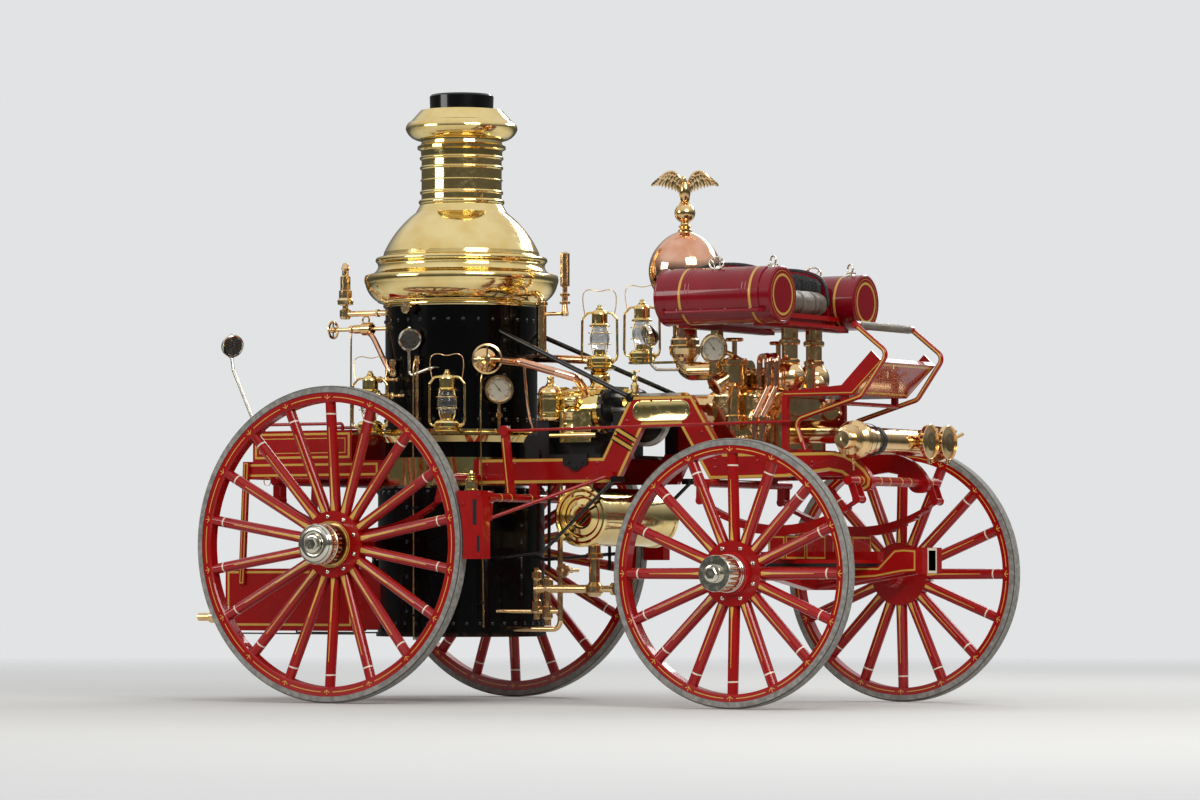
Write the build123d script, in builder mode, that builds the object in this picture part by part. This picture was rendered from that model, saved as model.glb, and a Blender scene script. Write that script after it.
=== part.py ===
from build123d import *
import os
from math import asin, atan2, cos, degrees, hypot, pi, radians, sin, sqrt

os.makedirs("parts", exist_ok=True)

# A horse-drawn steam fire engine of about 1900: a vertical boiler between two tall rear wheels,
# a crane-neck frame that lets the front wheels turn under it, the steam cylinders and the pump
# on the frame, and the driver's seat above the pump. Millimetres, X forward, Z up from the ground.

# Running gear
wheelbase = 2214
rear_wheel_radius = 762
front_wheel_radius = 620
track = 1760  # over the outer faces of the tyres
tyre_width = 65
tyre_depth = 32
felloe_inset = 3  # the felloe is narrower than the tyre by this on each side
axle_arm_radius = 30
running_clearance = 0.05  # radial, between an axle arm and its hub
hub_end_play = 2

# Boiler
boiler_forward = 207  # the boiler's axis, ahead of the rear axle
firebox_radius = 410
shell_radius = 375
boiler_bottom = 315
firebox_top = 1050
shell_top = 1946
band_height = 137  # the polished band above the firebox
band_radius = 398
shelf_bottom = 1262
shelf_radius = 432

# Frame
frame_centre = 285  # from the middle to the middle of each side plate
frame_plate = 32
rail_bottom = 1055
rail_top = 1175
neck_bottom, neck_top = 1066, 1187  # the level part beneath the seat

# Seat and tool cylinders
cylinder_centre = 415
cylinder_height = 1920
cylinder_radius = 132
cylinder_back = 1618
cylinder_front = 2240
cylinder_wall = 5

# Gaps
face_gap = 0.3  # between pieces of different bodies that lie on each other
reach_back = 1187  # the tip of the rear nozzle, behind the rear axle

rear_x = (reach_back - wheelbase - front_wheel_radius) / 2
front_x = rear_x + wheelbase
boiler_x = rear_x + boiler_forward
sides = (("right", -1), ("left", 1))
forward_dir, up_dir = Vector(1, 0, 0), Vector(0, 0, 1)


def at(forward, sideways, height):
    """A place given forward of the rear axle, sideways of the middle and above the ground."""
    return Vector(rear_x + forward, sideways, height)


def closed_face(plane, outline):
    """A face from points joined by lines; a pair of points is an arc through the first to the second."""
    with BuildSketch(plane) as face:
        with BuildLine():
            last = outline[0]
            for step in outline[1:]:
                if isinstance(step[0], tuple):
                    ThreePointArc(last, *step)
                    last = step[1]
                else:
                    Line(last, step)
                    last = step
            Line(last, outline[0])
        make_face()
    return face.sketch


def turn(foot, along, outline):
    """Adds a piece turned about an axis, from (radius, distance along the axis) points."""
    level = Plane(origin=foot, z_dir=along)
    half_plane = Plane(origin=foot, x_dir=level.x_dir, z_dir=level.x_dir.cross(level.z_dir))
    revolve(closed_face(half_plane, outline), axis=Axis(foot, along))


def rod(start, end, radius):
    """Adds a straight round bar."""
    with BuildSketch(Plane(origin=start, z_dir=end - start)) as disc:
        Circle(radius)
    extrude(disc.sketch, amount=(end - start).length)


def pipe(points, radius, bend):
    """Adds a round pipe along straight runs joined by bends."""
    with BuildLine() as path:
        FilletPolyline(*points, radius=bend)
    with BuildSketch(Plane(origin=points[0], z_dir=points[1] - points[0])) as disc:
        Circle(radius)
    sweep(disc.sketch, path=path.line)


def bar(start, end, width, depth, across=Vector(0, 1, 0)):
    """Adds a straight rectangular bar; width is measured along across."""
    run = end - start
    with BuildSketch(Plane(origin=start, x_dir=across, z_dir=run)) as face:
        Rectangle(width, depth)
    extrude(face.sketch, amount=run.length)


def ball(centre, radius):
    """Adds a ball."""
    with Locations(centre):
        Sphere(radius)


def block(low, high):
    """Adds a block between two corners."""
    with Locations((low + high) / 2):
        Box(abs(high.X - low.X), abs(high.Y - low.Y), abs(high.Z - low.Z))


def side_plate(outline, middle, thickness):
    """Adds a plate that stands along the engine, from (forward, height) points."""
    plane = Plane(origin=at(0, middle, 0), x_dir=forward_dir, z_dir=(0, -1, 0))
    extrude(closed_face(plane, outline), amount=thickness / 2, both=True)


def seat_on(*others):
    """Cuts away what lies inside the pieces this one rests on."""
    for other in others:
        add(other.part, mode=Mode.SUBTRACT)


def sector(centre, side, inside, outside, low, high):
    """A ring sector seen from the front, from low to high degrees up from level on the side's face."""
    first = low if side > 0 else 180 - high
    with BuildSketch(Plane(origin=centre, x_dir=(0, 1, 0), z_dir=forward_dir)) as face:
        with BuildLine():
            CenterArc((0, 0), inside, first, high - low)
            CenterArc((0, 0), outside, first, high - low)
            for angle in (radians(first), radians(first + high - low)):
                Line((inside * cos(angle), inside * sin(angle)), (outside * cos(angle), outside * sin(angle)))
        make_face()
    return face.sketch


def keep(piece, name):
    """Names a finished piece and writes it."""
    piece.label = name
    export_step(piece, f"parts/{name}.step")


# Wheels: wooden, dished, with a rubber tyre in a steel channel. Outlines give (radius, distance
# from the middle of the engine).
wheel_tables = (
    # place, forward, radius, felloe depth, spokes, spoke root from the middle, hub outline
    ("rear", 0, rear_wheel_radius, 47, 18, 800, (
        (62, 662), (74, 700), (74, 765), (161, 765), (161, 836), (112, 836), (112, 850),
        (100, 850), (100, 930), (96, 934), (96, 978), (88, 985), (46, 985), (46, 1005))),
    ("front", wheelbase, front_wheel_radius, 36, 16, 830, (
        (58, 692), (68, 725), (68, 800), (151, 800), (151, 860), (98, 860), (98, 880),
        (84, 880), (84, 1018), (80, 1022), (42, 1022), (42, 1045))),
)
spoke_root_radius, spoke_tip_radius = 27, 25
axle_end_gap = 10
hub_cap_wall = 35
felloe_middle = track / 2 - tyre_width / 2
felloe_half = tyre_width / 2 - felloe_inset

for place, forward, radius, felloe_depth, spokes, root, hub in wheel_tables:
    for side, sign in sides:
        outward = Vector(0, sign, 0)
        centre = at(forward, 0, radius)
        felloe_outer = radius - tyre_depth
        felloe_inner = felloe_outer - felloe_depth
        flange_radius = max(r for r, out in hub)
        bore_end = hub[-1][1] - hub_cap_wall
        bore = axle_arm_radius + running_clearance
        rise = felloe_middle - root
        run = felloe_inner - flange_radius
        lean = degrees(atan2(rise, run))
        spoke_length = hypot(rise, run) + 30
        with BuildPart(Plane(origin=centre + outward * (root + felloe_middle) / 2, x_dir=forward_dir,
                             z_dir=outward)) as wheel:
            turn(centre, outward, (
                (felloe_inner, felloe_middle - felloe_half), (felloe_inner, felloe_middle + felloe_half - 6),
                (felloe_inner + 6, felloe_middle + felloe_half), (felloe_outer, felloe_middle + felloe_half),
                (felloe_outer, felloe_middle - felloe_half)))
            turn(centre, outward, ((bore, hub[0][1]), *hub, (0, hub[-1][1]), (0, bore_end), (bore, bore_end)))
            with PolarLocations((felloe_inner + flange_radius) / 2, spokes, start_angle=90):
                Cone(spoke_root_radius, spoke_tip_radius, spoke_length, rotation=(0, 90 - lean, 0))
        keep(wheel.part, f"wheel_{place}_{side}")
        with BuildPart() as tyre:
            turn(centre, outward, (
                (felloe_outer, felloe_middle - tyre_width / 2), (felloe_outer, felloe_middle + tyre_width / 2),
                (radius - 8, felloe_middle + tyre_width / 2), (radius, felloe_middle + tyre_width / 2 - 10),
                (radius, felloe_middle - tyre_width / 2 + 10), (radius - 8, felloe_middle - tyre_width / 2)))
        keep(tyre.part, f"tyre_{place}_{side}")

# Rear axle: it bows behind the boiler, level with the wheels' centres.
rear_hub_inner = wheel_tables[0][6][0][1]
front_hub_inner = wheel_tables[1][6][0][1]
rear_arm_end = wheel_tables[0][6][-1][1] - hub_cap_wall - axle_end_gap
front_arm_end = wheel_tables[1][6][-1][1] - hub_cap_wall - axle_end_gap
rear_axle_depth = 60
axle_collar = 52
rear_bow = 275  # how far the bow stands behind the wheels' centres
rear_straight, rear_bow_half = 500, 250
with BuildPart() as rear_axle:
    with BuildSketch(Plane.XY.offset(rear_wheel_radius - rear_axle_depth / 2)):
        with BuildLine():
            FilletPolyline(
                at(0, -rear_hub_inner + 30, 0), at(0, -rear_straight, 0), at(-rear_bow, -rear_bow_half, 0),
                at(-rear_bow, rear_bow_half, 0), at(0, rear_straight, 0), at(0, rear_hub_inner - 30, 0),
                radius=60)
            offset(amount=rear_axle_depth / 2, side=Side.BOTH)
        make_face()
    extrude(amount=rear_axle_depth)
    for side, sign in sides:
        outward = Vector(0, sign, 0)
        turn(at(0, 0, rear_wheel_radius), outward, (
            (0, rear_hub_inner - 40), (axle_collar, rear_hub_inner - 40),
            (axle_collar, rear_hub_inner - hub_end_play), (axle_arm_radius, rear_hub_inner - hub_end_play),
            (axle_arm_radius, rear_arm_end), (0, rear_arm_end)))
keep(rear_axle.part, "rear_axle")

# Boiler: the firebox is hollow behind its door; the shell above it is closed.
boiler_axis_foot = Vector(boiler_x, 0, 0)
firebox_wall = 25
firebox_floor, firebox_crown = 400, 900
door_bottom, door_top = 455, 690
door_half_angle = 24
door_frame = 22  # how far the door overlaps its opening
door_thickness = 14
hinge_pin_radius = 7
hinge_barrel = 15
opening_half = (firebox_radius + door_thickness / 2) * sin(radians(door_half_angle)) - door_frame
hinge_angle = radians(180 + door_half_angle + 3.2)
hinge_distance = firebox_radius + hinge_barrel + 2
hinge = Vector(boiler_x + hinge_distance * cos(hinge_angle), hinge_distance * sin(hinge_angle), 0)
lug_height = 16
with BuildPart() as boiler:
    turn(boiler_axis_foot, up_dir, (
        (0, boiler_bottom), (firebox_radius + 8, boiler_bottom), (firebox_radius + 8, boiler_bottom + 22),
        (firebox_radius, boiler_bottom + 22), (firebox_radius, firebox_top - 12),
        (firebox_radius - 12, firebox_top), (shell_radius, firebox_top), (shell_radius, shell_top),
        (0, shell_top)))
    with Locations(Vector(boiler_x, 0, (firebox_floor + firebox_crown) / 2)):
        Cylinder(firebox_radius - firebox_wall, firebox_crown - firebox_floor, mode=Mode.SUBTRACT)
    with Locations(Vector(boiler_x - firebox_radius, 0, (door_bottom + door_top) / 2)):
        Box(firebox_radius / 2, 2 * opening_half, door_top - door_bottom - 2 * door_frame, mode=Mode.SUBTRACT)
    for low in (door_bottom - lug_height - 1, door_top + 1):
        with Locations(hinge + up_dir * (low + lug_height / 2)):
            Cylinder(hinge_barrel, lug_height)
        bar(Vector(boiler_x + (firebox_radius - 5) * cos(hinge_angle), (firebox_radius - 5) * sin(hinge_angle),
                   low + lug_height / 2), hinge + up_dir * (low + lug_height / 2), lug_height, 2 * hinge_barrel,
            across=up_dir)
    with Locations(hinge + up_dir * (door_bottom + door_top) / 2):
        Cylinder(hinge_pin_radius, door_top - door_bottom + 2 * lug_height)
keep(boiler.part, "boiler")
with BuildPart() as boiler_form:
    turn(boiler_axis_foot, up_dir, (
        (0, boiler_bottom), (firebox_radius, boiler_bottom), (firebox_radius, firebox_top), (shell_radius, firebox_top),
        (shell_radius, shell_top), (0, shell_top)))

# Fire door: a curved plate on the back of the firebox, hinged at its near edge.
with BuildPart() as fire_door:
    inner = firebox_radius + face_gap
    outer = inner + door_thickness
    turn(boiler_axis_foot, up_dir, ((inner, door_bottom), (outer, door_bottom), (outer, door_top), (inner, door_top)))
    with Locations(Vector(boiler_x - outer, 0, (door_bottom + door_top) / 2)):
        Box(outer, 2 * outer * sin(radians(door_half_angle)), door_top - door_bottom, mode=Mode.INTERSECT)
    barrel_middle = hinge + up_dir * (door_bottom + door_top) / 2
    for strap_height in (door_bottom + 50, door_top - 50):
        strap_end = Vector(-(outer + 2) * cos(radians(12)), -(outer + 2) * sin(radians(12)), strap_height)
        bar(hinge + up_dir * strap_height, strap_end + forward_dir * boiler_x, 34, 8, across=up_dir)
    with Locations(barrel_middle):
        Cylinder(hinge_barrel, door_top - door_bottom)
    with Locations(barrel_middle):
        Cylinder(hinge_pin_radius + running_clearance, door_top - door_bottom, mode=Mode.SUBTRACT)
    latch = Vector(boiler_x - outer * cos(radians(door_half_angle - 7)), outer * sin(radians(door_half_angle - 7)),
                   (door_bottom + door_top) / 2)
    turn(latch, -forward_dir, ((0, -4), (9, -4), (9, 30), (15, 36), (15, 50), (9, 56), (0, 56)))
keep(fire_door.part, "fire_door")

# Polished band and the shelf ring above it.
with BuildPart() as boiler_band:
    turn(boiler_axis_foot, up_dir, (
        (shell_radius, firebox_top), (band_radius, firebox_top), (band_radius, firebox_top + band_height),
        (shell_radius, firebox_top + band_height)))
keep(boiler_band.part, "boiler_band")

shelf_lanterns = ((410, -450), (-34, -450))
with BuildPart() as boiler_shelf:
    turn(boiler_axis_foot, up_dir, (
        (shell_radius, shelf_bottom), (shell_radius + 20, shelf_bottom), (shelf_radius - 12, shelf_bottom + 30),
        (shelf_radius, shelf_bottom + 34), (shelf_radius, shelf_bottom + 46), (shelf_radius - 10, shelf_bottom + 50),
        (shelf_radius - 10, shelf_bottom + 62), (shell_radius, shelf_bottom + 62)))
    for forward, sideways in shelf_lanterns:
        with Locations(at(forward, sideways, shelf_bottom + 41)):
            Cylinder(90, 10)
    with Locations(Vector(boiler_x, 0, shelf_bottom + 31)):
        Cylinder(shell_radius, 100, mode=Mode.SUBTRACT)
keep(boiler_shelf.part, "boiler_shelf")
shelf_top = shelf_bottom + 62
plate_top = shelf_bottom + 46

# Brass dome, skirt and stack over the boiler, closed by a black cap in the crown.
with BuildPart() as stack:
    turn(boiler_axis_foot, up_dir, (
        (0, shell_top), (shell_radius + 5, shell_top), ((436, 1978), (474, 2046)), ((479, 2067), (474, 2088)),
        (452, 2094), ((424, 2108), (410, 2142)), (418, 2152), ((424, 2165), (412, 2178)), (386, 2184),
        (382, 2204), ((322, 2304), (226, 2400)), (204, 2440), ((212, 2452), (204, 2464)), (198, 2464),
        (198, 2490), ((206, 2499), (198, 2508)), (198, 2612), ((206, 2621), (198, 2630)), (198, 2660),
        ((207, 2669), (200, 2678)), (202, 2706), (218, 2714), (218, 2728), (200, 2738), (198, 2757),
        ((244, 2770), (276, 2812)), ((272, 2832), (250, 2852)), (202, 2906), (0, 2906)))
keep(stack.part, "stack")

stack_cap_bottom = 2906
with BuildPart() as stack_cap:
    turn(boiler_axis_foot, up_dir, (
        (0, stack_cap_bottom), (156, stack_cap_bottom), (158, 2975), (150, 2984), (0, 2987)))
keep(stack_cap.part, "stack_cap")

# Crane-neck side plates: level beside the boiler, arched over the front wheels, level again
# beneath the seat, with a scroll at the front that carries the front spring bar.
front_bar_reach, front_bar_drop, front_bar_radius = 386, 16, 22
front_bar_forward, front_bar_height = wheelbase + front_bar_reach, neck_bottom - front_bar_drop
neck = (
    (440, rail_top), (1194, rail_top), (1352, 1464), (1684, 1464), (1782, 1306), (1861, neck_top),
    (front_bar_forward - 160, neck_top),
    ((front_bar_forward - 40, neck_top - 35), (front_bar_forward + 40, front_bar_height + 20)),
    ((front_bar_forward + 40, front_bar_height - 32), (front_bar_forward - 2, front_bar_height - 48)),
    ((front_bar_forward - 44, front_bar_height - 36), (front_bar_forward - 64, front_bar_height + 2)),
    ((front_bar_forward - 112, neck_bottom + 26), (front_bar_forward - 180, neck_bottom + 34)),
    (wheelbase - 24, neck_bottom + 5), (1840, neck_bottom), (1781, neck_bottom), (1620, 1326),
    (1421, 1324), (1277, rail_bottom), (440, rail_bottom))
for side, sign in sides:
    with BuildPart() as side_frame:
        side_plate(neck, sign * frame_centre, frame_plate)
        with Locations(Vector(boiler_x, 0, (rail_top + rail_bottom) / 2)):
            Cylinder(band_radius, 2 * (rail_top - rail_bottom), mode=Mode.SUBTRACT)
        with Locations(at(front_bar_forward, sign * frame_centre, front_bar_height)):
            Cylinder(front_bar_radius, 2 * frame_plate, rotation=(90, 0, 0), mode=Mode.SUBTRACT)
    keep(side_frame.part, f"frame_{side}")
    if side == "right":
        side_frame_right = side_frame

# Rear rails and the bar that joins them.
rear_rail_bottom, rear_rail_top = 1092, 1179
rear_rail_end = -890
with BuildPart() as rear_rails:
    for side, sign in sides:
        side_plate(((rear_rail_end, rear_rail_bottom), (30, rear_rail_bottom), (30, rear_rail_top),
                    (rear_rail_end, rear_rail_top)), sign * frame_centre, frame_plate)
    block(at(rear_rail_end, -frame_centre, rear_rail_bottom), at(rear_rail_end + 30, frame_centre, rear_rail_top))
    with Locations(Vector(boiler_x, 0, (rear_rail_bottom + rear_rail_top) / 2)):
        Cylinder(band_radius, 400, mode=Mode.SUBTRACT)
keep(rear_rails.part, "rear_rails")

# Cross members between the two side plates.
cross_members = (
    # forward, height, width along, depth
    (900, 1100, 40, 70), (1470, 1444, 50, 36), (1900, 1110, 50, 60), (2214, 1110, 90, 60),
)
pump_back, pump_front = 1740, 2140
pump_bed = 20
frame_inner = frame_centre - frame_plate / 2
frame_outer = frame_centre + frame_plate / 2
with BuildPart() as frame_cross_members:
    for forward, height, width, depth in cross_members:
        block(at(forward - width / 2, -frame_inner, height - depth / 2),
              at(forward + width / 2, frame_inner, height + depth / 2))
    block(at(pump_front - 260, -frame_outer, neck_top), at(pump_front, frame_outer, neck_top + pump_bed))
keep(frame_cross_members.part, "frame_cross_members")


# Leaf springs: leaves that bend on one centre above the middle, each shorter than the last.
leaf = 9
spring_width = 50
eye_radius = 17


def leaf_spring(forward, sideways, seat_height, half_length, camber, leaves):
    """Adds a spring whose lowest leaf rests at seat_height."""
    radius = (half_length**2 + camber**2) / (2 * camber)
    centre_height = seat_height + leaves * leaf + radius
    full = degrees(asin(half_length / radius))
    for number in range(leaves):
        reach = full * (1 - 0.15 * number)
        with BuildSketch(Plane(origin=at(forward, sideways, centre_height), x_dir=forward_dir,
                               z_dir=(0, -1, 0))) as face:
            with BuildLine():
                inside, outside = radius + number * leaf, radius + (number + 1) * leaf
                CenterArc((0, 0), inside, 270 - reach, 2 * reach)
                CenterArc((0, 0), outside, 270 - reach, 2 * reach)
                for angle in (radians(270 - reach), radians(270 + reach)):
                    Line((inside * cos(angle), inside * sin(angle)), (outside * cos(angle), outside * sin(angle)))
            make_face()
        extrude(face.sketch, amount=spring_width / 2, both=True)
    for end in (-1, 1):
        with Locations(at(forward + end * half_length, sideways, seat_height + leaves * leaf + camber - 6)):
            Cylinder(eye_radius, spring_width, rotation=(90, 0, 0))


front_spring_sideways, front_spring_half, front_camber = 395, 416, 125
rear_spring_sideways, rear_spring_half, rear_camber = 590, 470, 150
front_spring_seat = 800
rear_spring_seat = rear_wheel_radius + rear_axle_depth / 2
leaves = 5
with BuildPart() as front_springs:
    for side, sign in sides:
        leaf_spring(wheelbase, sign * front_spring_sideways, front_spring_seat, front_spring_half,
                    front_camber, leaves)
keep(front_springs.part, "front_springs")
with BuildPart() as rear_springs:
    for side, sign in sides:
        leaf_spring(0, sign * rear_spring_sideways, rear_spring_seat, rear_spring_half, rear_camber, leaves)
keep(rear_springs.part, "rear_springs")

# Spring bars and shackles.
front_eye_height = front_spring_seat + leaves * leaf + front_camber - 6
rear_eye_height = rear_spring_seat + leaves * leaf + rear_camber - 6
shackle = 8
spring_bars = (
    # forward, sideways start, sideways end, height, radius, spring sideways, eye forward, eye height
    (front_bar_forward, 0, 450, front_bar_height, front_bar_radius, front_spring_sideways,
     wheelbase + front_spring_half, front_eye_height),
    (1800, 0, 450, neck_bottom - 20, 20, front_spring_sideways, wheelbase - front_spring_half, front_eye_height),
    (-rear_spring_half, 0, 640, rear_rail_bottom - 20, 20, rear_spring_sideways, -rear_spring_half, rear_eye_height),
    (rear_spring_half + 24, frame_outer, 640, 1085, 20, rear_spring_sideways, rear_spring_half, rear_eye_height),
)
with BuildPart() as spring_bars_and_shackles:
    for side, sign in sides:
        for forward, inner, outer, height, radius, spring, eye, eye_height in spring_bars:
            rod(at(forward, sign * inner, height), at(forward, sign * outer, height), radius)
            for face in (spring_width / 2, -spring_width / 2 - shackle):
                low, high = sorted((sign * (spring + face), sign * (spring + face + shackle)))
                middle = (low + high) / 2
                bar(at(eye, middle, eye_height), at(forward, middle, height), shackle, 34)
                with Locations(at(eye, middle, eye_height)):
                    Cylinder(eye_radius + 3, shackle, rotation=(90, 0, 0))
        for forward, under in ((1800, neck_bottom), (-rear_spring_half, rear_rail_bottom)):
            block(at(forward - 20, sign * frame_centre - 14, under - 20), at(forward + 20, sign * frame_centre + 14, under))
keep(spring_bars_and_shackles.part, "spring_shackles")

# Fifth wheel: the upper ring and bolster stay with the frame; the lower ring turns with the axle.
front_axle_depth = 64
ring_thickness = 16
ring_outer, ring_inner = 330, 275
king_pin_radius = 22
lower_ring_bottom = front_wheel_radius + front_axle_depth / 2
upper_ring_bottom = lower_ring_bottom + ring_thickness + face_gap
bolster_bottom = upper_ring_bottom + ring_thickness
bolster_half = 430
bolster_width = 90
front_foot = Vector(front_x, 0, 0)
with BuildPart() as bolster:
    turn(front_foot, up_dir, (
        (ring_inner, upper_ring_bottom), (ring_outer, upper_ring_bottom), (ring_outer, bolster_bottom),
        (ring_inner, bolster_bottom)))
    block(Vector(front_x - bolster_width / 2, -bolster_half, bolster_bottom),
          Vector(front_x + bolster_width / 2, bolster_half, front_spring_seat))
    block(Vector(front_x - ring_outer + 10, -30, bolster_bottom),
          Vector(front_x + ring_outer - 10, 30, bolster_bottom + 40))
    with Locations(Vector(front_x, 0, (upper_ring_bottom + bolster_bottom) / 2 - 40)):
        Cylinder(king_pin_radius, bolster_bottom - upper_ring_bottom + 80)
keep(bolster.part, "bolster")

# Front axle, with the lower ring and the futchells that hold the pole socket.
belly = 45
with BuildPart() as front_axle:
    with BuildSketch(Plane(origin=front_foot - forward_dir * front_axle_depth / 2, x_dir=(0, 1, 0),
                           z_dir=forward_dir)):
        with BuildLine():
            Polyline(
                (-front_hub_inner + 30, lower_ring_bottom), (front_hub_inner - 30, lower_ring_bottom),
                (front_hub_inner - 30, lower_ring_bottom - front_axle_depth),
                (420, lower_ring_bottom - front_axle_depth), (120, lower_ring_bottom - front_axle_depth - belly),
                (-120, lower_ring_bottom - front_axle_depth - belly),
                (-420, lower_ring_bottom - front_axle_depth),
                (-front_hub_inner + 30, lower_ring_bottom - front_axle_depth), close=True)
        make_face()
    extrude(amount=front_axle_depth)
    for side, sign in sides:
        turn(at(wheelbase, 0, front_wheel_radius), Vector(0, sign, 0), (
            (0, front_hub_inner - 40), (axle_collar, front_hub_inner - 40),
            (axle_collar, front_hub_inner - hub_end_play), (axle_arm_radius, front_hub_inner - hub_end_play),
            (axle_arm_radius, front_arm_end), (0, front_arm_end)))
    with Locations(Vector(front_x, 0, front_wheel_radius)):
        Cylinder(king_pin_radius + running_clearance, 300, mode=Mode.SUBTRACT)
keep(front_axle.part, "front_axle")

with BuildPart() as lower_ring:
    turn(front_foot, up_dir, (
        (ring_inner, lower_ring_bottom), (ring_outer, lower_ring_bottom),
        (ring_outer, lower_ring_bottom + ring_thickness), (ring_inner, lower_ring_bottom + ring_thickness)))
keep(lower_ring.part, "fifth_wheel_ring")

socket_back, socket_front = 490, 590  # ahead of the front axle
socket_height = 681
socket_hole_width, socket_hole_height = 70, 93
socket_half_width, socket_half_height = 70, 61
futchell = 30
futchell_outline = (
    (front_axle_depth / 2, 585), (340, 598), (480, 622), (socket_front - 30, 628), (socket_front - 30, 734),
    (socket_back, 738), (440, 735), (352, lower_ring_bottom), (front_axle_depth / 2, lower_ring_bottom))
back_arm_outline = (
    (-front_axle_depth / 2, 590), (-front_axle_depth / 2, lower_ring_bottom), (-380, lower_ring_bottom),
    (-380, 622))
with BuildPart() as futchells:
    for side, sign in sides:
        middle = sign * (socket_half_width + futchell / 2)
        for outline in (futchell_outline, back_arm_outline):
            side_plate([(wheelbase + x, z) for x, z in outline], middle, futchell)
    block(at(wheelbase - 380, -socket_half_width - futchell, 622),
          at(wheelbase - 350, socket_half_width + futchell, lower_ring_bottom))
    block(at(wheelbase + socket_back, -socket_half_width, socket_height - socket_half_height),
          at(wheelbase + socket_front, socket_half_width, socket_height + socket_half_height))
    block(at(wheelbase + socket_front - 30, -socket_half_width - futchell, socket_height - socket_half_height),
          at(wheelbase + socket_front, socket_half_width + futchell, socket_height + socket_half_height))
    for side, sign in sides:
        middle = sign * (socket_half_width + futchell / 2)
        rod(at(wheelbase + 470, middle, 628), at(wheelbase + front_axle_depth / 2 - 4, middle, 556), 11)
    seat_on(front_axle)
    with Locations(at(wheelbase + socket_front, 0, socket_height)):
        Box(2 * (socket_front - socket_back) + 200, socket_hole_width, socket_hole_height, mode=Mode.SUBTRACT)
keep(futchells.part, "pole_socket")

# Rear tray above the rails, open at the top, and the fuel platform behind the boiler.
tray_back, tray_front, tray_top = -830, -240, 1330
tray_wall = 12
with BuildPart() as coal_tray:
    block(at(tray_back, -frame_outer, rear_rail_top), at(tray_front, frame_outer, tray_top))
    with Locations(at((tray_back + tray_front) / 2, 0, (rear_rail_top + tray_top) / 2 + tray_wall)):
        Box(tray_front - tray_back - 2 * tray_wall, 2 * (frame_outer - tray_wall), tray_top - rear_rail_top,
            mode=Mode.SUBTRACT)
    for side, sign in sides:
        rail_side = sign * (frame_outer - 8)
        pipe((at(tray_back + 60, rail_side, tray_top), at(tray_back + 60, rail_side, tray_top + 32),
              at(tray_front - 60, rail_side, tray_top + 32), at(tray_front - 60, rail_side, tray_top)), 8, 14)
keep(coal_tray.part, "coal_tray")

platform_back, platform_bottom, platform_top = -994, 352, 648
platform_wall = 14
strap = 14  # the hangers from the rails down to the platform
with BuildPart() as rear_platform:
    block(at(platform_back, -frame_outer, platform_bottom), at(60, frame_outer, platform_top))
    with Locations(at(0, 0, (platform_bottom + platform_top) / 2 + platform_wall)):
        Box(2 * abs(platform_back) + 200, 2 * (frame_outer - platform_wall), platform_top - platform_bottom,
            mode=Mode.SUBTRACT)
    with Locations(Vector(boiler_x, 0, platform_bottom)):
        Cylinder(firebox_radius, 900, mode=Mode.SUBTRACT)
    block(at(platform_back, -frame_outer, platform_bottom - 12), at(-180, -frame_outer + 40, platform_bottom))
    block(at(platform_back, frame_outer - 40, platform_bottom - 12), at(-180, frame_outer, platform_bottom))
    for side, sign in sides:
        side_plate(((-880, rear_rail_top), (-845, rear_rail_top), (-872, platform_top - 80),
                    (-907, platform_top - 80)), sign * (frame_outer + strap / 2), strap)
keep(rear_platform.part, "rear_platform")

# Brass nozzle at the rear near corner of the platform, on a pipe from the foot of the boiler.
nozzle_sideways, nozzle_height = -(frame_outer - platform_wall - 34), 406
nozzle_radius, nozzle_length = 20, 69
with BuildPart() as rear_nozzle:
    nozzle_root = reach_back + platform_back + 60 - nozzle_length
    turn(at(platform_back + 60, nozzle_sideways, nozzle_height), -forward_dir, (
        (0, 0), (24, 0), (24, 62), (34, 66), (34, 78), (26, 84), (26, 108), (38, 112), (38, 142),
        (30, 150), (30, nozzle_root - 4), (nozzle_radius, nozzle_root),
        (nozzle_radius, nozzle_root + nozzle_length), (0, nozzle_root + nozzle_length)))
    rod(at(platform_back + 60, nozzle_sideways, nozzle_height), at(-80, nozzle_sideways, nozzle_height), 18)
    seat_on(boiler_form)
keep(rear_nozzle.part, "rear_nozzle")

# Seat: a plate between the tool cylinders, arched side panels, a cushion and a back.
seat_half = cylinder_centre - cylinder_radius - 3
seat_back_end, seat_front_end = 1640, 2195
seat_plate_bottom, seat_plate_top = 1800, 1846
saddle_bottom = 1776
seat_saddles = (seat_back_end + 70, seat_front_end - 80)
with BuildPart() as seat_plate:
    block(at(seat_back_end, -seat_half, seat_plate_bottom), at(seat_front_end - 50, seat_half, seat_plate_bottom + 24))
    block(at(seat_front_end - 80, -seat_half, seat_plate_bottom - 14), at(seat_front_end, seat_half, seat_plate_bottom))
    block(at(seat_back_end, -seat_half, seat_plate_bottom + 24), at(seat_front_end - 30, seat_half, seat_plate_top))
    for saddle in seat_saddles:
        block(at(saddle - 30, -cylinder_centre, saddle_bottom), at(saddle + 30, cylinder_centre, seat_plate_bottom))
    for side, sign in sides:
        with Locations(at((cylinder_back + cylinder_front) / 2, sign * cylinder_centre, cylinder_height)):
            Cylinder(cylinder_radius, 900, rotation=(0, 90, 0), mode=Mode.SUBTRACT)
keep(seat_plate.part, "seat_plate")

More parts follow.
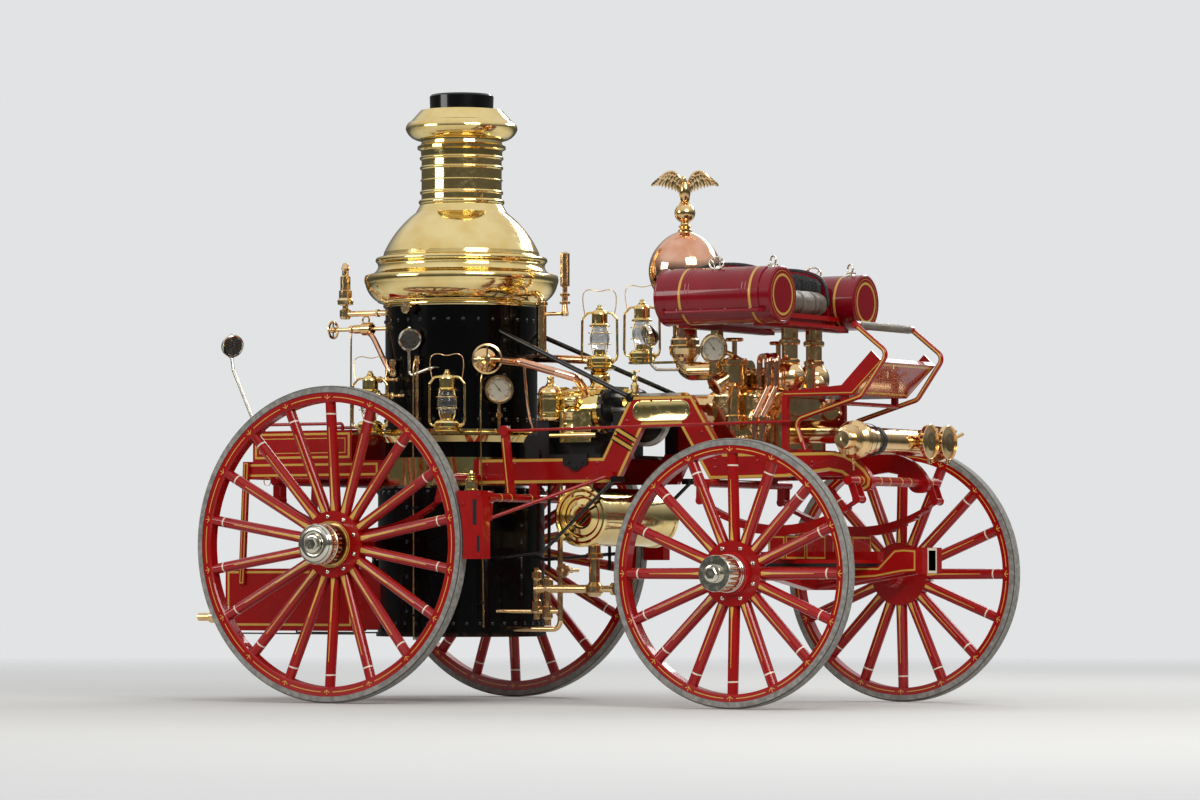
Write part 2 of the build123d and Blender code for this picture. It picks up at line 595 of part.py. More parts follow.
panel = 18
panel_back, wing_front, wing_top = 1660, 2112, 2070
wing = (
    (panel_back, seat_plate_top), (wing_front, seat_plate_top), (wing_front, wing_top - 128),
    ((wing_front - 46, wing_top - 30), (wing_front - 160, wing_top)), ((1800, wing_top + 4), (panel_back, wing_top - 22)))
cushion_top = 1960
lining = 24
with BuildPart() as seat_panels:
    for side, sign in sides:
        side_plate(wing, sign * (seat_half - panel / 2), panel)
    block(at(panel_back, -seat_half + panel, seat_plate_top), at(panel_back + panel, seat_half - panel, wing_top - 22))
keep(seat_panels.part, "seat_panels")

with BuildPart() as seat_cushion:
    block(at(1700, -seat_half + panel + 0.3, seat_plate_top + 0.3),
          at(2150, seat_half - panel - 0.3, cushion_top))
    fillet(seat_cushion.edges().filter_by(Axis.Y).group_by(Axis.X)[-1], radius=40)
keep(seat_cushion.part, "seat_cushion")

with BuildPart() as seat_back:
    block(at(panel_back + panel + 0.3, -seat_half + panel + 0.3, cushion_top + 0.3),
          at(1752, seat_half - panel - 0.3, wing_top - 6))
    for side, sign in sides:
        side_plate(
            [(1740, cushion_top + 0.3), (wing_front - 14, cushion_top + 0.3), (wing_front - 20, wing_top - 90),
             ((wing_front - 62, wing_top - 36), (wing_front - 160, wing_top - 12)), (1740, wing_top - 12)],
            sign * (seat_half - panel - 0.3 - lining / 2), lining)
keep(seat_back.part, "seat_back")

# Tool cylinders: a hollow drum on each side of the seat with a curved lid on its outer face.
lid_low, lid_high = -25, 75  # the lid's reach, in degrees up from level on the outer side
lid_thickness = 6
lid_end = 60  # from each end of the cylinder
hinge_rod, hinge_tube = 5, 10
for side, sign in sides:
    axis_foot = at(cylinder_back, sign * cylinder_centre, cylinder_height)
    length = cylinder_front - cylinder_back
    lid_hinge_angle = radians(lid_low - 7)
    hinge_reach = cylinder_radius + hinge_tube + 1
    hinge_line = axis_foot + Vector(0, sign * hinge_reach * cos(lid_hinge_angle), hinge_reach * sin(lid_hinge_angle))
    middle = axis_foot + forward_dir * length / 2

    with BuildPart() as tool_cylinder:
        turn(axis_foot, forward_dir, ((0, 0), (cylinder_radius - 8, 0), (cylinder_radius, 8),
                                      (cylinder_radius, length - 8), (cylinder_radius - 8, length), (0, length)))
        with Locations(middle):
            Cylinder(cylinder_radius - cylinder_wall, length - 24, rotation=(0, 90, 0), mode=Mode.SUBTRACT)
        extrude(sector(middle, sign, cylinder_radius - 20, cylinder_radius + 20, lid_low + 7, lid_high - 5),
                amount=length / 2 - lid_end - 14, both=True, mode=Mode.SUBTRACT)
        for end in (-1, 1):
            lug = hinge_line + forward_dir * (length / 2 + end * (length / 2 - lid_end + 12))
            with Locations(lug):
                Cylinder(hinge_tube, 20, rotation=(0, 90, 0))
            bar(lug - forward_dir * 10, lug + forward_dir * 10, 2 * hinge_tube, 2 * hinge_tube)
        with Locations(hinge_line + forward_dir * length / 2):
            Cylinder(hinge_rod, length - 2 * lid_end + 30, rotation=(0, 90, 0))
        with Locations(middle):
            Cylinder(cylinder_radius - cylinder_wall, length - 24, rotation=(0, 90, 0), mode=Mode.SUBTRACT)
    keep(tool_cylinder.part, f"tool_cylinder_{side}")

    with BuildPart() as lid:
        lid_inside = cylinder_radius + face_gap
        extrude(sector(middle, sign, lid_inside, lid_inside + lid_thickness, lid_low - 7, lid_high),
                amount=length / 2 - lid_end, both=True)
        with Locations(hinge_line + forward_dir * length / 2):
            Cylinder(hinge_tube, length - 2 * lid_end, rotation=(0, 90, 0))
        with Locations(hinge_line + forward_dir * length / 2):
            Cylinder(hinge_rod + running_clearance, length, rotation=(0, 90, 0), mode=Mode.SUBTRACT)
        with Locations(middle):
            Cylinder(lid_inside, length, rotation=(0, 90, 0), mode=Mode.SUBTRACT)
    keep(lid.part, f"tool_lid_{side}")

# Footboard with its sloping toe board, and the bent irons that hold it.
iron = 24
iron_path = ((2285, neck_top + 9), (2233, 1338), (2582, 1444), (2723, 1641), (2553, 1776))
floor_back, floor_bottom, floor_top = 2163, 1450, 1474
board_half = frame_centre - iron / 2
with BuildPart() as footboard_irons:
    for side, sign in sides:
        pipe([at(x, sign * frame_centre, z) for x, z in iron_path], iron / 2, 40)
        block(at(2256, sign * frame_centre - iron / 2, neck_top),
              at(2316, sign * frame_centre + iron / 2, neck_top + 13))
        block(at(2466, sign * 250 - 12, 1412), at(2494, sign * 250 + 12, floor_bottom))
        block(at(floor_back + 7, sign * frame_centre - 14, neck_top),
              at(floor_back + 35, sign * frame_centre + 14, floor_bottom - 12))
        block(at(floor_back + 7, sign * 250 - 20, floor_bottom - 12),
              at(floor_back + 35, sign * (frame_centre + 14), floor_bottom))
    rod(at(2480, -frame_centre, 1413), at(2480, frame_centre, 1413), 10)
    rod(at(2553, -frame_centre, 1776), at(2553, frame_centre, 1776), 18)
keep(footboard_irons.part, "footboard_irons")

flange = 12
with BuildPart() as footboard:
    side_plate(((floor_back, floor_bottom), (2532, floor_bottom), (2684, 1602), (2667, 1619), (2522, floor_top),
                (floor_back, floor_top)), 0, 2 * (board_half - flange))
    for side, sign in sides:
        side_plate(((floor_back, floor_bottom), (2532, floor_bottom), (2684, 1602), (2630, 1656), (2472, floor_top + 24),
                    (floor_back, floor_top)), sign * (board_half - flange / 2), flange)
keep(footboard.part, "footboard")

# Brake: a cross shaft in front of the boiler, a shoe for each rear tyre, and the driver's lever.
shaft_forward, shaft_height, shaft_radius = 805, 982, 20
shoe_gap = 12
with BuildPart() as brake_gear:
    rod(at(shaft_forward, -felloe_middle - 22, shaft_height), at(shaft_forward, felloe_middle + 22, shaft_height),
        shaft_radius)
    for side, sign in sides:
        block(at(shaft_forward - 22, sign * frame_centre - frame_plate / 2, shaft_height),
              at(shaft_forward + 22, sign * frame_centre + frame_plate / 2, rail_bottom))
        turn(at(shaft_forward, 0, shaft_height), Vector(0, sign, 0), (
            (0, 690), (32, 690), (32, 740), (0, 740)))
    bar(at(shaft_forward, -500, shaft_height), at(770, -500, 1308), 20, 42)
    turn(at(770, -516, 1304), Vector(0, 1, 0), ((0, 0), (26, 0), (26, 32), (0, 32)))
    rod(at(770, -500, 1304), at(2226, -frame_outer - 12, 1332), 7)
    bar(at(shaft_forward, -700, shaft_height), at(shaft_forward - 6, -700, 873), 20, 36)
    rod(at(shaft_forward - 6, -700, 880), at(1240, -frame_outer - 9, 1090), 9)
    block(at(1215, -frame_outer - 30, 1075), at(1265, -frame_outer, 1105))
    seat_on(side_frame_right)
keep(brake_gear.part, "brake_gear")

with BuildPart() as brake_shoes:
    for side, sign in sides:
        side_plate(((736, 1012), (868, 1012), (884, 930), (884, 690), (770, 690)), sign * felloe_middle, tyre_width)
    with Locations(at(0, 0, rear_wheel_radius)):
        Cylinder(rear_wheel_radius + shoe_gap, 3 * track, rotation=(90, 0, 0), mode=Mode.SUBTRACT)
    seat_on(brake_gear)
keep(brake_shoes.part, "brake_shoes")

# Steam end: two lagged cylinders side by side with the steam chest between them, and on the outer
# side of each a valve cover with a drain pipe.
engine_half, engine_height = 140, 1408
steam_back, steam_front = 870, 1132
cylinder_flange, cylinder_lagging = 115, 105
chest_top = 1526
cover_bottom, cover_top, cover_side = 1251, 1400, 285
pedestal_forward, pedestal_height = 1000, 96
stroke = steam_front - steam_back
with BuildPart() as steam_cylinders:
    for side, sign in sides:
        turn(at(steam_back, sign * engine_half, engine_height), forward_dir, (
            (0, 0), (cylinder_flange, 0), (cylinder_flange, 24), (cylinder_lagging, 26),
            (cylinder_lagging, stroke - 26), (cylinder_flange, stroke - 24), (cylinder_flange, stroke), (0, stroke)))
        block(at(947, sign * 200, cover_bottom), at(1121, sign * cover_side, cover_top))
        rod(at(899, sign * (cover_side + 8), 1285), at(1156, sign * (cover_side + 8), 1285), 12)
    block(at(905, -100, engine_height), at(1105, 100, chest_top))
    turn(at(pedestal_forward, 0, chest_top), up_dir, (
        (0, 0), (52, 0), (42, 16), (50, 34), ((48, 56), (30, 74)), (75, 86), (75, pedestal_height),
        (0, pedestal_height)))
    turn(at(989, -244, cover_top), up_dir, (
        (0, 0), (22, 0), (22, 8), ((44, 30), (48, 48)), ((46, 68), (20, 76)), (10, 82), (14, 92), (0, 98)))
keep(steam_cylinders.part, "steam_cylinders")

# Engine frame: the bed under the cylinders, the crosshead guides, the crankshaft and its flywheel.
bed = 18
barrel_back = 1540
guide_rise = 68
crank_forward, crank_height = 1260, 1362
flywheel_radius, flywheel_half = 128, 18
lubricator_forward, lubricator_sideways, lubricator_base = 874, -250, 1358
apron = (
    (979, rail_top + bed), (979, 1160), ((986, 1140), (1012, 1138)), ((1047, 1112), (1083, 1138)),
    ((1109, 1140), (1116, 1160)), (1116, rail_top + bed))
with BuildPart() as engine_frame:
    block(at(855, -frame_outer, rail_top), at(1185, frame_outer, rail_top + bed))
    block(at(890, -230, rail_top + bed), at(1110, 230, engine_height))
    block(at(lubricator_forward - 50, lubricator_sideways - 40, rail_top + bed),
          at(lubricator_forward + 15, lubricator_sideways + 40, lubricator_base))
    for side, sign in sides:
        side_plate(apron, sign * (frame_outer + 5), 10)
        turn(at(steam_front, sign * engine_half, engine_height), forward_dir, (
            (0, 0), (108, 0), (108, 20), (96, 26), (0, 26)))
        for rise in (-guide_rise, guide_rise):
            bar(at(steam_front, sign * engine_half, engine_height + rise),
                at(barrel_back, sign * engine_half, engine_height + rise), 40, 16)
        block(at(1330, sign * (engine_half - 24), engine_height - guide_rise),
              at(1370, sign * (engine_half + 24), engine_height + guide_rise))
        rod(at(steam_front, sign * engine_half, engine_height), at(barrel_back, sign * engine_half, engine_height), 13)
        bar(at(crank_forward + 34, sign * 66, crank_height), at(1345, sign * 118, engine_height), 16, 30)
        block(at(crank_forward - 30, sign * 52, crank_height - 34), at(crank_forward + 50, sign * 80, crank_height + 34))
        block(at(crank_forward - 25, sign * 225, 1200), at(crank_forward + 25, sign * frame_inner, crank_height + 28))
    rod(at(crank_forward, -230, crank_height), at(crank_forward, 230, crank_height), 20)
    turn(at(crank_forward, 0, crank_height), Vector(0, 1, 0), (
        (0, -28), (34, -28), (34, -8), (104, -8), (104, -flywheel_half), (flywheel_radius, -flywheel_half),
        (flywheel_radius, flywheel_half), (104, flywheel_half), (104, 8), (34, 8), (34, 28), (0, 28)))
    turn(at(800, -290, 1241), Vector(0, 1, 0), ((0, 0), (50, 0), (62, 10), (62, 130), (0, 130)))
    block(at(760, -frame_outer, rail_top), at(840, -255, 1215))
    seat_on(steam_cylinders)
keep(engine_frame.part, "engine_frame")

# Pump: two barrels in line with the steam cylinders, the body and its valve chest, and the bend
# that leads up to the air chamber.
pump_half, pump_top, pump_chest_top = 190, 1500, 1560
ball_height, ball_radius = 2079, 174
chamber_gap = 9  # from the air chamber's ball to the seat
chamber_forward = panel_back - ball_radius - chamber_gap
chamber_foot, chamber_top = 1640, 2262
bend_radius, bend_height = 45, 1592
with BuildPart() as pump:
    block(at(pump_back, -pump_half, neck_top + pump_bed), at(pump_front, pump_half, pump_top))
    fillet(pump.edges().filter_by(Axis.X).group_by(Axis.Z)[-1], radius=40)
    block(at(1800, -130, pump_top - 10), at(2060, 130, pump_chest_top))
    for side, sign in sides:
        turn(at(barrel_back, sign * engine_half, engine_height), forward_dir, (
            (0, 0), (78, 0), (78, 22), (58, 24), (58, 176), (78, 178), (78, 210), (0, 210)))
    pipe((at(chamber_forward, 0, chamber_foot), at(chamber_forward, 0, bend_height), at(1840, 0, bend_height)),
         bend_radius, 46)
    for forward in (1850, 1930, 2010):
        for side, sign in sides:
            turn(at(forward, sign * 70, pump_chest_top), up_dir, (
                (0, 0), (34, 0), (34, 12), (26, 16), ((22, 32), (6, 42)), (0, 42)))
keep(pump.part, "pump")

# Discharge gates at the pump's sides, the strainers on the footboard and the columns under the seat.
gate_forward, gate_sideways, gate_foot = 1870, 215, 1506
seat_column_forward, seat_column_sideways = seat_saddles[1], 120
outlet_run = Vector(-60, -85, -66)
with BuildPart() as pump_valves:
    for side, sign in sides:
        foot = at(gate_forward, sign * gate_sideways, gate_foot)
        outlet = Vector(outlet_run.X, -sign * outlet_run.Y, outlet_run.Z)
        turn(foot, up_dir, (
            (0, -206), (30, -206), (30, -176), (42, -170), (42, -142), (30, -136), (30, -8), (44, 0), (60, 14),
            (60, 98), (66, 102), (66, 122), (44, 130), (24, 140), (12, 148), (12, 214), (0, 214)))
        turn(foot + up_dir * 220, up_dir, ((0, -8), (40, -8), (44, 0), (40, 8), (0, 8)))
        turn(foot + up_dir * 66, outlet.normalized(), ((0, 0), (38, 0), (38, 90), (54, 96), (54, 124), (46, 130), (0, 130)))
        column = at(seat_column_forward, sign * seat_column_sideways, 0)
        turn(column, up_dir, (
            (0, 1470), (36, 1470), ((74, 1550), (44, 1610)), (48, 1616), (48, 1628), (38, 1634), (38, 1700),
            (50, 1706), (50, 1722), (40, 1728), (40, saddle_bottom), (0, saddle_bottom)))
    turn(at(2270, -200, floor_top), up_dir, ((0, 0), (22, 0), (22, 112), (28, 116), (28, 130), (10, 134), (0, 134)))
    turn(at(2246, -100, floor_top), up_dir, ((0, 0), (30, 0), ((42, 44), (6, 84)), (0, 84)))
    turn(at(1810, -300, 1682), Vector(0, -1, 0), ((0, -20), (56, -20), (64, -8), (72, 4), (72, 14), (64, 14), (64, 8), (0, 8)))
    rod(at(1810, -285, 1682), at(gate_forward, -gate_sideways, 1650), 12)
    turn(at(1722, -120, 1500), up_dir, ((0, 0), (40, 0), (40, 120), (48, 126), (48, 140), (30, 148), (30, 276), (0, 276)))
    seat_on(pump, seat_plate, footboard)
keep(pump_valves.part, "pump_valves")

# Air chamber: a copper ball on a column, with a brass union below and a finial above.
with BuildPart() as air_chamber:
    turn(at(chamber_forward, 0, 0), up_dir, (
        (0, 1758), (58, 1758), (58, 1800), ((92, 1902), (150, 1984)), ((ball_radius, ball_height), (120, 2205)),
        ((80, 2240), (34, chamber_top)), (0, chamber_top)))
keep(air_chamber.part, "air_chamber")
finial_ball, finial_height = 50, 2353
with BuildPart() as air_chamber_union:
    turn(at(chamber_forward, 0, 0), up_dir, (
        (0, chamber_foot), (52, chamber_foot), (58, 1657), (72, 1672), (76, 1700), (76, 1712), (68, 1718),
        (70, 1742), (62, 1750), (62, 1758), (0, 1758)))
    turn(at(chamber_forward, 0, 0), up_dir, (
        (0, chamber_top), (34, chamber_top), (34, chamber_top + 8), (22, chamber_top + 16), (32, chamber_top + 26),
        (22, chamber_top + 36), (18, chamber_top + 46), ((50, 2353), (6, 2402)), (0, 2402)))
keep(air_chamber_union.part, "air_chamber_union")

# Eagle on the finial, wings spread, facing the engine's near side.
eagle_turn = -30
wing = ((8, 2452), ((44, 2548), (92, 2546)), ((150, 2520), (176, 2470)), (120, 2462), (84, 2438), (44, 2426), (10, 2412))
with BuildPart() as eagle:
    perch = at(chamber_forward, 0, 0)
    across = Vector(cos(radians(-eagle_turn)), sin(radians(-eagle_turn)), 0)
    turn(perch, up_dir, ((0, 2398), (18, 2396), (24, 2410), ((36, 2450), (18, 2498)), ((20, 2516), (4, 2530)), (0, 2530)))
    rod(perch + up_dir * 2508, perch + up_dir * 2500 - across * 34, 7)
    for side, sign in sides:
        plane = Plane(origin=perch, x_dir=across * sign, z_dir=(across * sign).cross(up_dir))
        extrude(closed_face(plane, wing), amount=7, both=True)
    seat_on(air_chamber_union)
keep(eagle.part, "eagle")

# Suction: a pipe from the pump forward under the footboard to a cross pipe with capped inlets.
suction_forward, suction_height = 2600, 1238
suction_cross_radius, suction_run_radius = 62, 56
with BuildPart() as suction_pipe:
    rod(at(suction_forward, -360, suction_height), at(suction_forward, 440, suction_height),
        suction_cross_radius)
    turn(at(suction_forward, -360, suction_height), Vector(0, 1, 0), ((0, 0), (76, 0), (76, 56), (68, 80), (0, 80)))
    pipe((at(suction_forward, 0, suction_height), at(2470, 0, suction_height), at(2330, 0, 1290),
          at(pump_front, 0, 1290)), suction_run_radius, 100)
    for sideways in (200, 390):
        rod(at(suction_forward, sideways, suction_height + 4), at(suction_forward + 70, sideways, suction_height + 4), 48)
keep(suction_pipe.part, "suction_pipe")
with BuildPart() as suction_caps:
    turn(at(suction_forward, -360, suction_height), Vector(0, -1, 0), (
        (0, 0), (86, 0), (88, 12), (88, 40), (70, 60), (70, 76), (44, 84), (44, 140), (38, 150), (0, 152)))
    turn(at(suction_forward, 440, suction_height), Vector(0, 1, 0), (
        (0, 0), (84, 0), (84, 44), (60, 54), (46, 60), (46, 92), (0, 92)))
    for sideways in (200, 390):
        turn(at(suction_forward + 70, sideways, suction_height + 4), forward_dir, (
            (0, 0), (70, 0), (80, 8), (80, 22), (44, 30), (20, 32), (0, 34)))
    rod(at(suction_forward + 10, 496, suction_height), at(suction_forward + 70, 590, suction_height + 50), 9)
keep(suction_caps.part, "suction_caps")

# Brass drum under the frame, with stepped ends, and the column and valves that feed it.
drum_forward, drum_height, drum_radius, drum_half = 1100, 893, 145, 350
drum_end = (
    (0, drum_half - 22), (46, drum_half - 22), (50, drum_half - 12), (60, drum_half - 8), (88, drum_half - 20),
    (96, drum_half - 20), (104, drum_half - 4), (118, drum_half - 10), (128, drum_half - 10),
    (134, drum_half), (drum_radius, drum_half - 6), (drum_radius, drum_half - 30), (140, drum_half - 34))
with BuildPart() as brass_drum:
    turn(at(drum_forward, 0, drum_height), Vector(0, 1, 0), (
        *drum_end, *((radius, -out) for radius, out in reversed(drum_end))))
    for side, sign in sides:
        block(at(drum_forward - 24, sign * frame_centre - 14, drum_height + 120),
              at(drum_forward + 24, sign * frame_centre + 14, rail_bottom))
keep(brass_drum.part, "brass_drum")
feed_sideways = -200
with BuildPart() as feed_valves:
    turn(at(1090, feed_sideways, 0), up_dir, (
        (0, 510), (28, 512), (42, 530), (42, 560), (26, 580), (26, 690), (42, 696), (42, 716), (30, 722), (30, 780),
        (0, 780)))
    rod(at(1090, feed_sideways, 548), at(1190, feed_sideways, 548), 16)
    turn(at(1190, feed_sideways, 548), forward_dir, ((0, 0), (30, 0), (30, 16), (0, 16)))
    rod(at(1090, feed_sideways, 548), at(760, feed_sideways, 548), 20)
    pipe((at(898, feed_sideways, 1065), at(898, feed_sideways, 354), at(740, feed_sideways, 354),
          at(560, -150, 354)), 13, 40)
    for forward, low, high in ((763, 400, 650), (826, 370, 610)):
        turn(at(forward, feed_sideways, 0), up_dir, (
            (0, low), (18, low), (18, low + 30), (26, low + 40), (26, low + 90), (18, low + 96),
            (18, high - 60), (28, high - 50), (28, high - 20), (14, high - 10), (14, high), (0, high)))
    rod(at(763, feed_sideways, 440), at(898, feed_sideways, 440), 12)
    rod(at(763, feed_sideways, 440), at(540, -215, 440), 11)
    turn(at(960, feed_sideways, 637), Vector(0, -1, 0), ((0, -62), (9, -62), (9, 70), (34, 70), (34, 84), (9, 84), (0, 90)))
    rod(at(898, feed_sideways, 637), at(965, feed_sideways, 637), 12)
    seat_on(brass_drum, boiler_form, frame_cross_members)
keep(feed_valves.part, "feed_valves")


# Fittings of the boiler, polished brass: the steam pipe beside the shell, whistle and safety valve,
# throttle and stop valves with handwheels, pressure gauge, water gauge, try cocks, and the gong.
def handwheel(foot, along, radius):
    """Adds a rimmed handwheel with four spokes."""
    turn(foot, along, ((radius - 9, -6), (radius, -3), (radius, 3), (radius - 9, 6)))
    turn(foot, along, ((0, -10), (14, -10), (14, 10), (0, 10)))
    level = Plane(origin=foot, z_dir=along)
    for arm in (level.x_dir, level.y_dir):
        rod(foot - arm * (radius - 5), foot + arm * (radius - 5), 4)


with BuildPart() as boiler_fittings:
    pipe((at(669, 0, 1690), at(669, 0, 1985), at(560, 0, 1985)), 17, 34)
    rod(at(669, 0, 1888), at(803, 0, 1888), 9)
    turn(at(803, 0, 1876), up_dir, (
        (0, 0), (16, 0), (20, 12), (16, 24), (12, 54), (26, 60), (26, 68), (14, 74), (14, 94), (24, 98), (24, 108),
        (12, 114), (12, 140), (23, 146), (23, 304), (12, 312), (0, 314)))
    rod(at(-80, -225, 1905), at(-330, -225, 1905), 14)
    turn(at(-330, -225, 1880), up_dir, (
        (0, 0), (22, 0), (28, 12), (28, 44), (14, 52), (14, 66), (38, 72), (40, 92), (32, 104), (32, 140), (25, 144),
        (25, 210), (16, 216), (16, 240), (22, 250), (12, 276), (0, 280)))
    rod(at(-80, -213, 1829), at(-405, -213, 1829), 10)
    turn(at(-170, -213, 1829), -forward_dir, ((0, 0), (20, 0), (32, 10), (32, 60), (22, 70), (22, 110), (0, 110)))
    handwheel(at(-410, -213, 1829), forward_dir, 46)
    throttle_run = Vector(0.6, -0.8, 0)
    turn(at(470, -216, 1657), throttle_run, (
        (0, 0), (58, 0), (58, 70), (40, 80), (40, 120), (26, 130), (26, 150), (10, 156), (10, 226), (0, 226)))
    handwheel(at(470, -216, 1657) + throttle_run * 218, throttle_run, 74)
    turn(at(566, -226, shelf_top), up_dir, ((0, -10), (9, -10), (9, 50), (18, 56), (18, 76), (9, 82), (9, 140), (0, 140)))
    turn(at(566, -226, 1515), throttle_run, ((0, -18), (54, -18), (64, -8), (70, 4), (70, 14), (62, 14), (62, 8), (0, 8)))
    turn(at(205, -398, 1340), up_dir, ((0, 0), (14, 0), (14, 40), (8, 44), (8, 296), (14, 300), (14, 340), (0, 340)))
    for height in (1360, 1660):
        rod(at(205, -360, height), at(205, -398, height), 9)
    for forward, sideways, height in ((0, -313, 1570), (-9, -307, 1494), (-18, -300, 1430)):
        outward = Vector(forward - boiler_forward, sideways, 0).normalized()
        rod(at(forward, sideways, height) - outward * 10, at(forward, sideways, height) + outward * 58, 8)
        ball(at(forward, sideways, height) + outward * 62, 17)
    turn(at(159, -365, 1915), Vector(-0.13, -1, 0).normalized(), ((0, 0), (12, 0), (12, 40), (28, 46), (28, 60), (0, 60)))
    seat_on(boiler_form, stack, boiler_shelf, steam_cylinders)

# Copper pipes: steam to the cylinders, and the two feed pipes at the pump's near side.
steam_pipe, feed_pipe = 20, 14
with BuildPart() as steam_pipes:
    pipe((at(505, -262, 1657), at(600, -285, 1657), at(760, -340, 1640), at(930, -302, 1590), at(1010, -230, 1560),
          at(1010, -150, 1500)), steam_pipe, 44)
    pipe((at(520, 100, 1681), at(930, 72, 1660), at(930, 72, 1500)), steam_pipe, 40)
    seat_on(steam_cylinders, boiler_fittings, boiler_form)
with BuildPart() as feed_pipes:
    for shift in (0, 40):
        pipe((at(1970 + shift, -150, pump_top - 20), at(1970 + shift, -150, 1645), at(2078 + shift, -252, 1645),
              at(2076 + shift, -252, 1500), at(2000 + shift, -252, 1360), at(2000 + shift, -252, neck_top + pump_bed)),
             feed_pipe, 30)
    seat_on(pump)
keep(Compound(children=[steam_pipes.part, feed_pipes.part]), "copper_pipes")

with BuildPart() as lubricator:
    turn(at(lubricator_forward, lubricator_sideways, lubricator_base), up_dir, (
        (0, 0), (60, 0), (64, 8), (60, 14), (60, 122), (65, 128), (60, 136), ((52, 156), (26, 168)), (18, 180),
        (14, 198), (18, 210), (0, 216)))
    seat_on(steam_cylinders)

gong_place = at(2322, -100, 1384)
with BuildPart() as gong:
    turn(gong_place, Vector(0.5, -0.866, 0), ((0, 0), (14, 0), (14, 16), (40, 20), (54, 34), (54, 40), (38, 26), (0, 26)))
    rod(gong_place, at(2322, -100, floor_bottom), 8)
keep(Compound(children=[boiler_fittings.part, lubricator.part, gong.part]), "brass_fittings")

# Lanterns: tank, hood and two side tubes of brass round a glass globe.
lantern_places = (
    *((forward, sideways, plate_top) for forward, sideways in shelf_lanterns),
    (pedestal_forward, 0, chest_top + pedestal_height), (1238, 0, 1642),
)
lantern_across = Vector(cos(radians(30)), sin(radians(30)), 0)
globe_bottom, globe_top = 84, 196
with BuildPart() as lanterns:
    for place in lantern_places:
        foot = at(*place)
        turn(foot, up_dir, (
            (0, 0), (58, 0), (62, 6), (62, 40), ((50, 54), (28, 60)), (28, globe_bottom), (0, globe_bottom)))
        turn(foot, up_dir, (
            (0, globe_top), (46, globe_top), (46, 206), (38, 212), (38, 256), ((30, 272), (6, 280)), (0, 280)))
        for sign in (-1, 1):
            pipe([foot + lantern_across * (sign * out) + up_dir * rise for out, rise in (
                (44, 24), (80, 34), (86, 60), (84, 232), (60, 262), (16, 268))], 6, 12)
    block(at(1180, -30, 1632), at(chamber_forward - 40, 30, 1642))
    seat_on(air_chamber_union, pump)
keep(lanterns.part, "lanterns")
with BuildPart() as lantern_globes:
    for place in lantern_places:
        turn(at(*place), up_dir, (
            (0, globe_bottom), (28, globe_bottom), ((48, 128), (40, 172)), (34, globe_top), (0, globe_top)))
keep(lantern_globes.part, "lantern_globes")

# Gooseneck lamps that light the gauges: a bent stem and a round head.
lamp_tables = (
    # stem points, head direction
    ((at(-820, -290, 1330), at(-835, -290, 1380), at(-960, -288, 1640), at(-972, -286, 1712)), Vector(0.8, -0.5, -0.3)),
    ((at(300, -352, 1620), at(300, -420, 1620), at(176, -424, 1580), at(174, -424, 1712)), Vector(0.7, -0.6, -0.4)),
    ((at(chamber_forward - 15, -30, 1600), at(chamber_forward - 117, -70, 1600), at(chamber_forward - 147, -70, 1626),
      at(chamber_forward - 151, -70, 1712)), Vector(-0.6, -0.7, -0.3)),
)
with BuildPart() as gooseneck_lamps:
    for points, facing in lamp_tables:
        pipe(points, 7, 20)
        turn(points[-1] + up_dir * 52, facing.normalized(), (
            (0, -34), ((40, -22), (54, 6)), (54, 20), (48, 20), (48, 8), (0, 8)))
    seat_on(boiler_form, pump, coal_tray)
keep(gooseneck_lamps.part, "gooseneck_lamps")

# Stays: from the shell down to the arch of the frame, and the braces of the firebox.
with BuildPart() as stay_rods:
    for side, sign in sides:
        rod(at(500, sign * 165, 1818), at(1352, sign * 285, 1456), 12)
        turn(at(1345, sign * 268, 1459), Vector(0, sign, 0), ((0, 0), (22, 0), (22, 34), (0, 34)))
        pipe((at(1300, sign * 368, 1068), at(900, sign * 372, 722), at(520, sign * 240, 690)), 9, 60)
        block(at(1285, sign * frame_outer, 1056), at(1320, sign * 378, 1084))
        rod(at(887, sign * 285, rail_bottom), at(887, sign * 285, 640), 8)
    seat_on(boiler_form, side_frame_right, side_frame, brass_drum)
keep(stay_rods.part, "stay_rods")
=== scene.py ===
# %% [markdown]
# # A steam fire engine
#
# A horse-drawn steam fire engine of about 1900, dressed for its portrait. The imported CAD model
# gives every rigid form and its place. This script adds paint, metal and leather, and the thin
# things that a solid model leaves out: stripes, rivets, bolts, wires, dials and cushions.
#
# ## The frame
#
# Everything is in metres: +X is forward, -Y is the engine's right-hand side, +Z is up.

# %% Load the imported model
import math
from collections import namedtuple

import bmesh
import bpy
from mathutils import Matrix, Vector


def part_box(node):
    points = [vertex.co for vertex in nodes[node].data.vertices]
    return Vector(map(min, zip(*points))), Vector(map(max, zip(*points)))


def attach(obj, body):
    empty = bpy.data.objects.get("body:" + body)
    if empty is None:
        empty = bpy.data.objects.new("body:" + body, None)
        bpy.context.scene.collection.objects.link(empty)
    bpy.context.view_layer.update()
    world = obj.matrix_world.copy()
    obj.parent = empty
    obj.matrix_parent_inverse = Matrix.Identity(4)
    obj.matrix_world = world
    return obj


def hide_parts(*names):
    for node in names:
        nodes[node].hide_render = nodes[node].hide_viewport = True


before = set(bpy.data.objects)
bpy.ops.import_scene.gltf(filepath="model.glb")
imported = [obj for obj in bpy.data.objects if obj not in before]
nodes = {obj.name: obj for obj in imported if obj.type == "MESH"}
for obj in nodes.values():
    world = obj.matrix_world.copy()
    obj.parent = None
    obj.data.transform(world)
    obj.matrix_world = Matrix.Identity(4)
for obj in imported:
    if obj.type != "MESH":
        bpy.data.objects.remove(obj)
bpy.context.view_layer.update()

# %% [markdown]
# The part's source measures forward from the rear axle, in millimetres, and so does this script,
# through one helper. The wheels give the axle's place in the frame.

